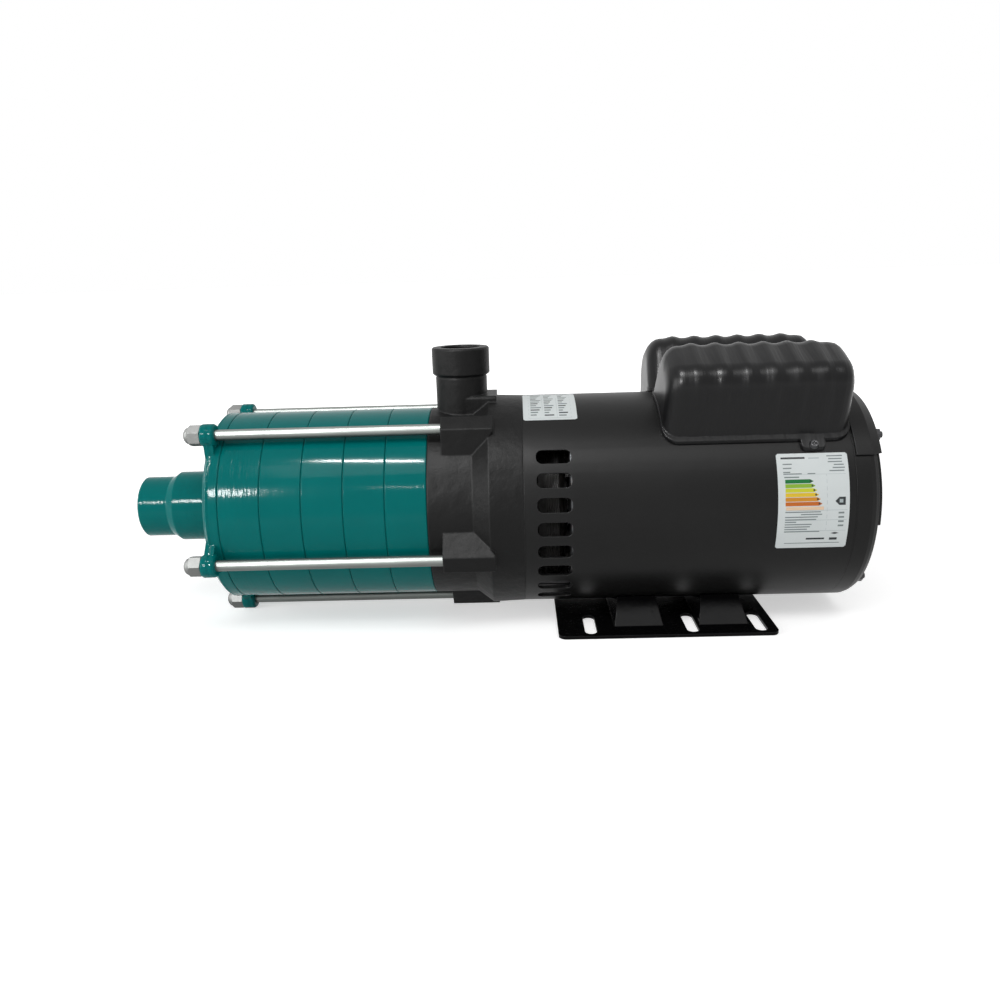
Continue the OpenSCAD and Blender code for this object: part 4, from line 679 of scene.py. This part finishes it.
class Label:
    """A label on the shell. Print is placed by shares of its width and of its height from the top."""

    def __init__(self, name, x_start, x_end, top_angle, foot_angle):
        self.name = name
        self.x_start, self.width = x_start, x_end - x_start
        self.top, self.sweep = math.radians(top_angle), math.radians(foot_angle - top_angle)
        self.points, self.faces, self.inks, self.materials = [], [], [], []

    def place(self, across, down, lift):
        angle = self.top + self.sweep * down
        r = shell_r + lift
        return (self.x_start + self.width * across, -r * math.cos(angle), shaft_h + r * math.sin(angle))

    def skin(self, material, rows, lift):
        """A strip of quads; each row is (down, left, right)."""
        if material not in self.materials:
            self.materials.append(material)
        first = len(self.points)
        for down, left, right in rows:
            self.points += [self.place(left, down, lift), self.place(right, down, lift)]
        for k in range(len(rows) - 1):
            a = first + 2 * k
            self.faces.append((a, a + 2, a + 3, a + 1))
            self.inks.append(self.materials.index(material))

    def sheet(self, material, corner):
        """The film itself, with rounded corners and a rim that comes down to the shell."""
        height = abs(self.sweep) * shell_r
        for lift, grow in ((film_lift, 0.0), (rim_lift, rim_width)):
            rows = []
            for i in range(sheet_rows + 1):
                down = i / sheet_rows
                to_end = min(down, 1 - down) * height
                cut = 0.0
                if to_end < corner:
                    cut = corner - math.sqrt(corner ** 2 - (corner - to_end) ** 2)
                side = (cut - grow) / self.width
                rows.append((down, side, 1 - side))
            self.skin(material, rows, lift)

    def bar(self, material, left, top, right, foot, point_left=0.0, point_right=0.0):
        """A printed bar; a pointed end makes it an arrow, as on an energy scale."""
        rows = []
        for i in range(bar_rows + 1):
            share = i / bar_rows
            slope = abs(2 * share - 1)
            rows.append((top + (foot - top) * share, left + point_left * slope, right - point_right * slope))
        self.skin(material, rows, print_lift)

    def lines(self, material, spans, top, pitch, thick):
        """Ruled lines one under another; each span is (left, right)."""
        for k, (left, right) in enumerate(spans):
            line_top = top + pitch * k
            self.bar(material, left, line_top, right, line_top + thick)

    def make(self):
        mesh = bpy.data.meshes.new(self.name)
        mesh.from_pydata(self.points, [], self.faces)
        for material in self.materials:
            mesh.materials.append(material)
        mesh.polygons.foreach_set("material_index", self.inks)
        mesh.shade_smooth()
        label = bpy.data.objects.new(self.name, mesh)
        bpy.context.scene.collection.objects.link(label)
        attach(label, "pump_frame")
        print(self.name, len(self.faces), "faces,", len(self.materials), "inks")


print("print stands", round((print_lift - film_lift) / mm, 3), "mm above the film")

# %% The energy label's heading and captions
energy = Label("energy_label", x_start=67.3 * mm, x_end=117 * mm, top_angle=33.8, foot_angle=-14.8)
energy.sheet(paper, corner=1.2 * mm)
energy.bar(dark_ink, 0.06, 0.040, 0.40, 0.060)
energy.bar(pale_ink, 0.45, 0.048, 0.60, 0.060)
energy.lines(grey_ink, ((0.08, 0.21), (0.08, 0.20), (0.08, 0.18)), top=0.108, pitch=0.042, thick=0.012)
captions = ((0.71, 0.93), (0.73, 0.92), (0.72, 0.92), (0.80, 0.94), (0.78, 0.95), (0.73, 0.94))
energy.lines(grey_ink, captions, top=0.028, pitch=0.031, thick=0.012)
energy.bar(grey_ink, 0.08, 0.210, 0.34, 0.220)
energy.bar(grey_ink, 0.42, 0.210, 0.53, 0.220)
energy.bar(pale_ink, 0.08, 0.221, 0.96, 0.224)
energy.bar(grey_ink, 0.09, 0.243, 0.30, 0.256)
print(energy.name, "has", len(energy.faces), "faces so far")

# %% The energy label's scale, from green to orange
scale_top, scale_pitch, scale_thick = 0.272, 0.046, 0.040
scale_left, shortest, longer_each = 0.10, 0.50, 0.024
scale_colours = ((0, 108, 48), (140, 178, 50), (204, 206, 48), (226, 190, 44), (210, 140, 36), (196, 104, 34))

for k, tint in enumerate(scale_colours):
    top = scale_top + scale_pitch * k
    tip = shortest + longer_each * k
    ink = film("scale_ink_%d" % (k + 1), srgb(*tint), 0.4)
    energy.bar(ink, scale_left, top, tip, top + scale_thick, point_right=0.05)
    energy.bar(dark_ink, tip - 0.055, top + 0.010, tip - 0.030, top + 0.030)
energy.bar(film("peach_ink", srgb(232, 200, 168), 0.4), 0.11, 0.552, 0.64, 0.585)
energy.bar(dark_ink, 0.80, 0.457, 0.945, 0.540, point_left=0.055)
energy.bar(pale_ink, 0.86, 0.480, 0.91, 0.515)

# %% The energy label's rules and small print
energy.bar(pale_ink, 0.685, 0.224, 0.690, 0.800)
for down in (0.588, 0.690, 0.805):
    energy.bar(pale_ink, 0.10, down, 0.97, down + 0.004)
small_print = ((0.10, 0.60), (0.32, 0.62), (0.10, 0.56), (0.10, 0.54), (0.10, 0.26),
               (0.10, 0.48), (0.10, 0.46), (0.10, 0.42), (0.10, 0.60))
energy.lines(grey_ink, small_print, top=0.600, pitch=0.026, thick=0.011)
energy.lines(grey_ink, ((0.85, 0.93),) * 4, top=0.610, pitch=0.045, thick=0.018)
energy.bar(dark_ink, 0.42, 0.885, 0.68, 0.905)
energy.bar(dark_ink, 0.76, 0.826, 0.88, 0.846, point_left=0.05, point_right=0.05)
energy.bar(dark_ink, 0.75, 0.885, 0.86, 0.912)
energy.bar(grey_ink, 0.12, 0.940, 0.90, 0.948)
energy.make()

# %% The rating label
rating = Label("rating_label", x_start=-110.5 * mm, x_end=-71 * mm, top_angle=92.0, foot_angle=58.5)
rating.sheet(paper, corner=1.8 * mm)
for left, top, right, foot in ((0.10, 0.06, 0.90, 0.07), (0.10, 0.95, 0.90, 0.955),
                               (0.10, 0.06, 0.106, 0.95), (0.895, 0.06, 0.90, 0.95),
                               (0.63, 0.30, 0.635, 0.95), (0.36, 0.30, 0.365, 0.75)):
    rating.bar(pale_ink, left, top, right, foot)
columns = ((0.14, 0.34), (0.40, 0.58), (0.67, 0.84))
line_rows, line_top, line_pitch, line_thick, column_drop = 12, 0.11, 0.068, 0.030, 0.01
for column, (left, right) in enumerate(columns):
    for row in range(line_rows):
        ink = grey_ink if (row + column) % 3 else dark_ink
        top = line_top + line_pitch * row + column_drop * column
        shorter = 0.03 * ((row * 5 + column) % 4)
        rating.bar(ink, left, top, right - shorter, top + line_thick)
rating.make()

# %% [markdown]
# ## The floor, the lights and the camera
#
# The photograph shows the object cut out on white, lit softly from above and in front. More
# lamps would whiten the floor, but they would bleach the object too. So the floor is a large
# pale sheet that runs on to the horizon, with a little light of its own, and more of it farther
# out. Only the camera, mirrors and clear things see that light, so it reads as white all the
# way and still takes the object's soft shadow. The world is white to the same rays, and only
# moderately bright as a lamp.
#
# Of the lamps, the large one overhead models the round bodies, and the panel at the left lights
# what faces the pump's front. The three small ones stand where a mirror on the casings would
# show them, and draw the bright streaks on the enamel.

# %% Floor
def seen_rays(graph):
    """1 for what the camera, a mirror or a clear thing sees, 0 for what only lights the object."""
    rays = graph.add("ShaderNodeLightPath", {}, {}).socket.node
    camera_ray, glossy_ray, clear_ray = (Field(graph, rays.outputs["Is %s Ray" % kind])
                                         for kind in ("Camera", "Glossy", "Transmission"))
    return graph.maths("MAXIMUM", camera_ray, graph.maths("MAXIMUM", glossy_ray, clear_ray))


def floor_finish():
    near_glow, near_r, far_r = 0.52, 0.25, 1.2
    dull_white, bright_white = (0.80, 0.80, 0.80, 1), (0.82, 0.82, 0.82, 1)
    sheet = Finish("pale_floor")
    colour = sheet.blend(sheet.noise(0.4), dull_white, bright_white)
    away = sheet.add("ShaderNodeVectorMath", {"operation": "LENGTH"},
                     {0: sheet.stretched(0.6, 1.0, 1.0)}, "Value")
    glow = seen_rays(sheet) * (near_glow + sheet.step(away, near_r, far_r) * (1 - near_glow))
    return sheet.wears(Base_Color=colour, Roughness=0.9, Specular_IOR_Level=0.1,
                       Emission_Color=glow, Emission_Strength=1.0)


half_w = 30.0
below_foot = -0.2 * mm
corners = [(x, y, below_foot) for y in (-half_w, half_w) for x in (-half_w, half_w)]
floor_mesh = bpy.data.meshes.new("floor")
floor_mesh.from_pydata(corners, [], [(0, 1, 3, 2)])
floor_mesh.materials.append(floor_finish())
floor = bpy.data.objects.new("floor", floor_mesh)
bpy.context.scene.collection.objects.link(floor)
print("floor", 2 * half_w, "m wide")

# %% World
lit_level = 0.45
seen_level = 1.0

world = bpy.data.worlds.new("studio")
bpy.context.scene.world = world
world.use_nodes = True
sky = Graph(world.node_tree)
background = sky.tree.nodes["Background"]
sky.feed(background.inputs["Color"], (1, 1, 1, 1))
sky.feed(background.inputs["Strength"], lit_level + seen_rays(sky) * (seen_level - lit_level))
print("the world lights at", lit_level, "and shows at", seen_level)


# %% Lamps
def lamp(name, place, target, width, height, watts, glint=False):
    """A soft rectangular lamp that faces a point. A glint lamp shows only as a reflection."""
    data = bpy.data.lights.new(name, "AREA")
    data.shape = "RECTANGLE"
    data.size, data.size_y = width, height
    data.energy = watts
    light = bpy.data.objects.new(name, data)
    light.location = place
    light.rotation_euler = (Vector(target) - Vector(place)).to_track_quat("-Z", "Y").to_euler()
    light.visible_diffuse = not glint
    bpy.context.scene.collection.objects.link(light)


lamp("overhead", place=(0.0, -0.80, 1.30), target=(-0.14, 0.0, 0.10), width=1.5, height=0.42, watts=9)
lamp("left_panel", place=(-1.7, -0.55, 0.5), target=(-0.2, 0.0, 0.1), width=0.9, height=0.8, watts=13)
lamp("high_strip", place=(-0.425, -0.572, 1.197), target=(-0.220, -0.058, 0.135),
     width=0.25, height=0.02, watts=14, glint=True)
lamp("left_strip", place=(-0.79, -1.02, 0.655), target=(-0.350, -0.055, 0.110),
     width=0.24, height=0.15, watts=20, glint=True)
lamp("front_line", place=(-0.36, -1.09, 0.725), target=(-0.200, -0.068, 0.117),
     width=0.14, height=0.012, watts=0.6, glint=True)


# %% Camera
def photograph_camera():
    """The camera that took the photograph, as its perspective on the known sizes gives it."""
    place = (-0.11553, -0.64545, 0.26413)
    pitch, yaw, roll = (math.radians(a) for a in (15.339, -1.334, -1.763))
    forward = Vector((math.sin(yaw) * math.cos(pitch), math.cos(yaw) * math.cos(pitch), -math.sin(pitch)))
    right = Vector((math.cos(yaw), -math.sin(yaw), 0))
    up = right.cross(forward)
    tilted_right = right * math.cos(roll) + up * math.sin(roll)
    tilted_up = up * math.cos(roll) - right * math.sin(roll)
    data = bpy.data.cameras.new("camera")
    data.lens = 29.806
    data.sensor_width = 36
    data.clip_start = 0.01
    camera = bpy.data.objects.new("camera", data)
    turn = Matrix((tilted_right, tilted_up, -forward)).transposed()
    camera.matrix_world = Matrix.Translation(place) @ turn.to_4x4()
    bpy.context.scene.collection.objects.link(camera)
    return camera


bpy.context.scene.camera = photograph_camera()
bpy.context.scene.view_settings.view_transform = "Standard"
print("camera at", tuple(round(v, 3) for v in bpy.context.scene.camera.location))
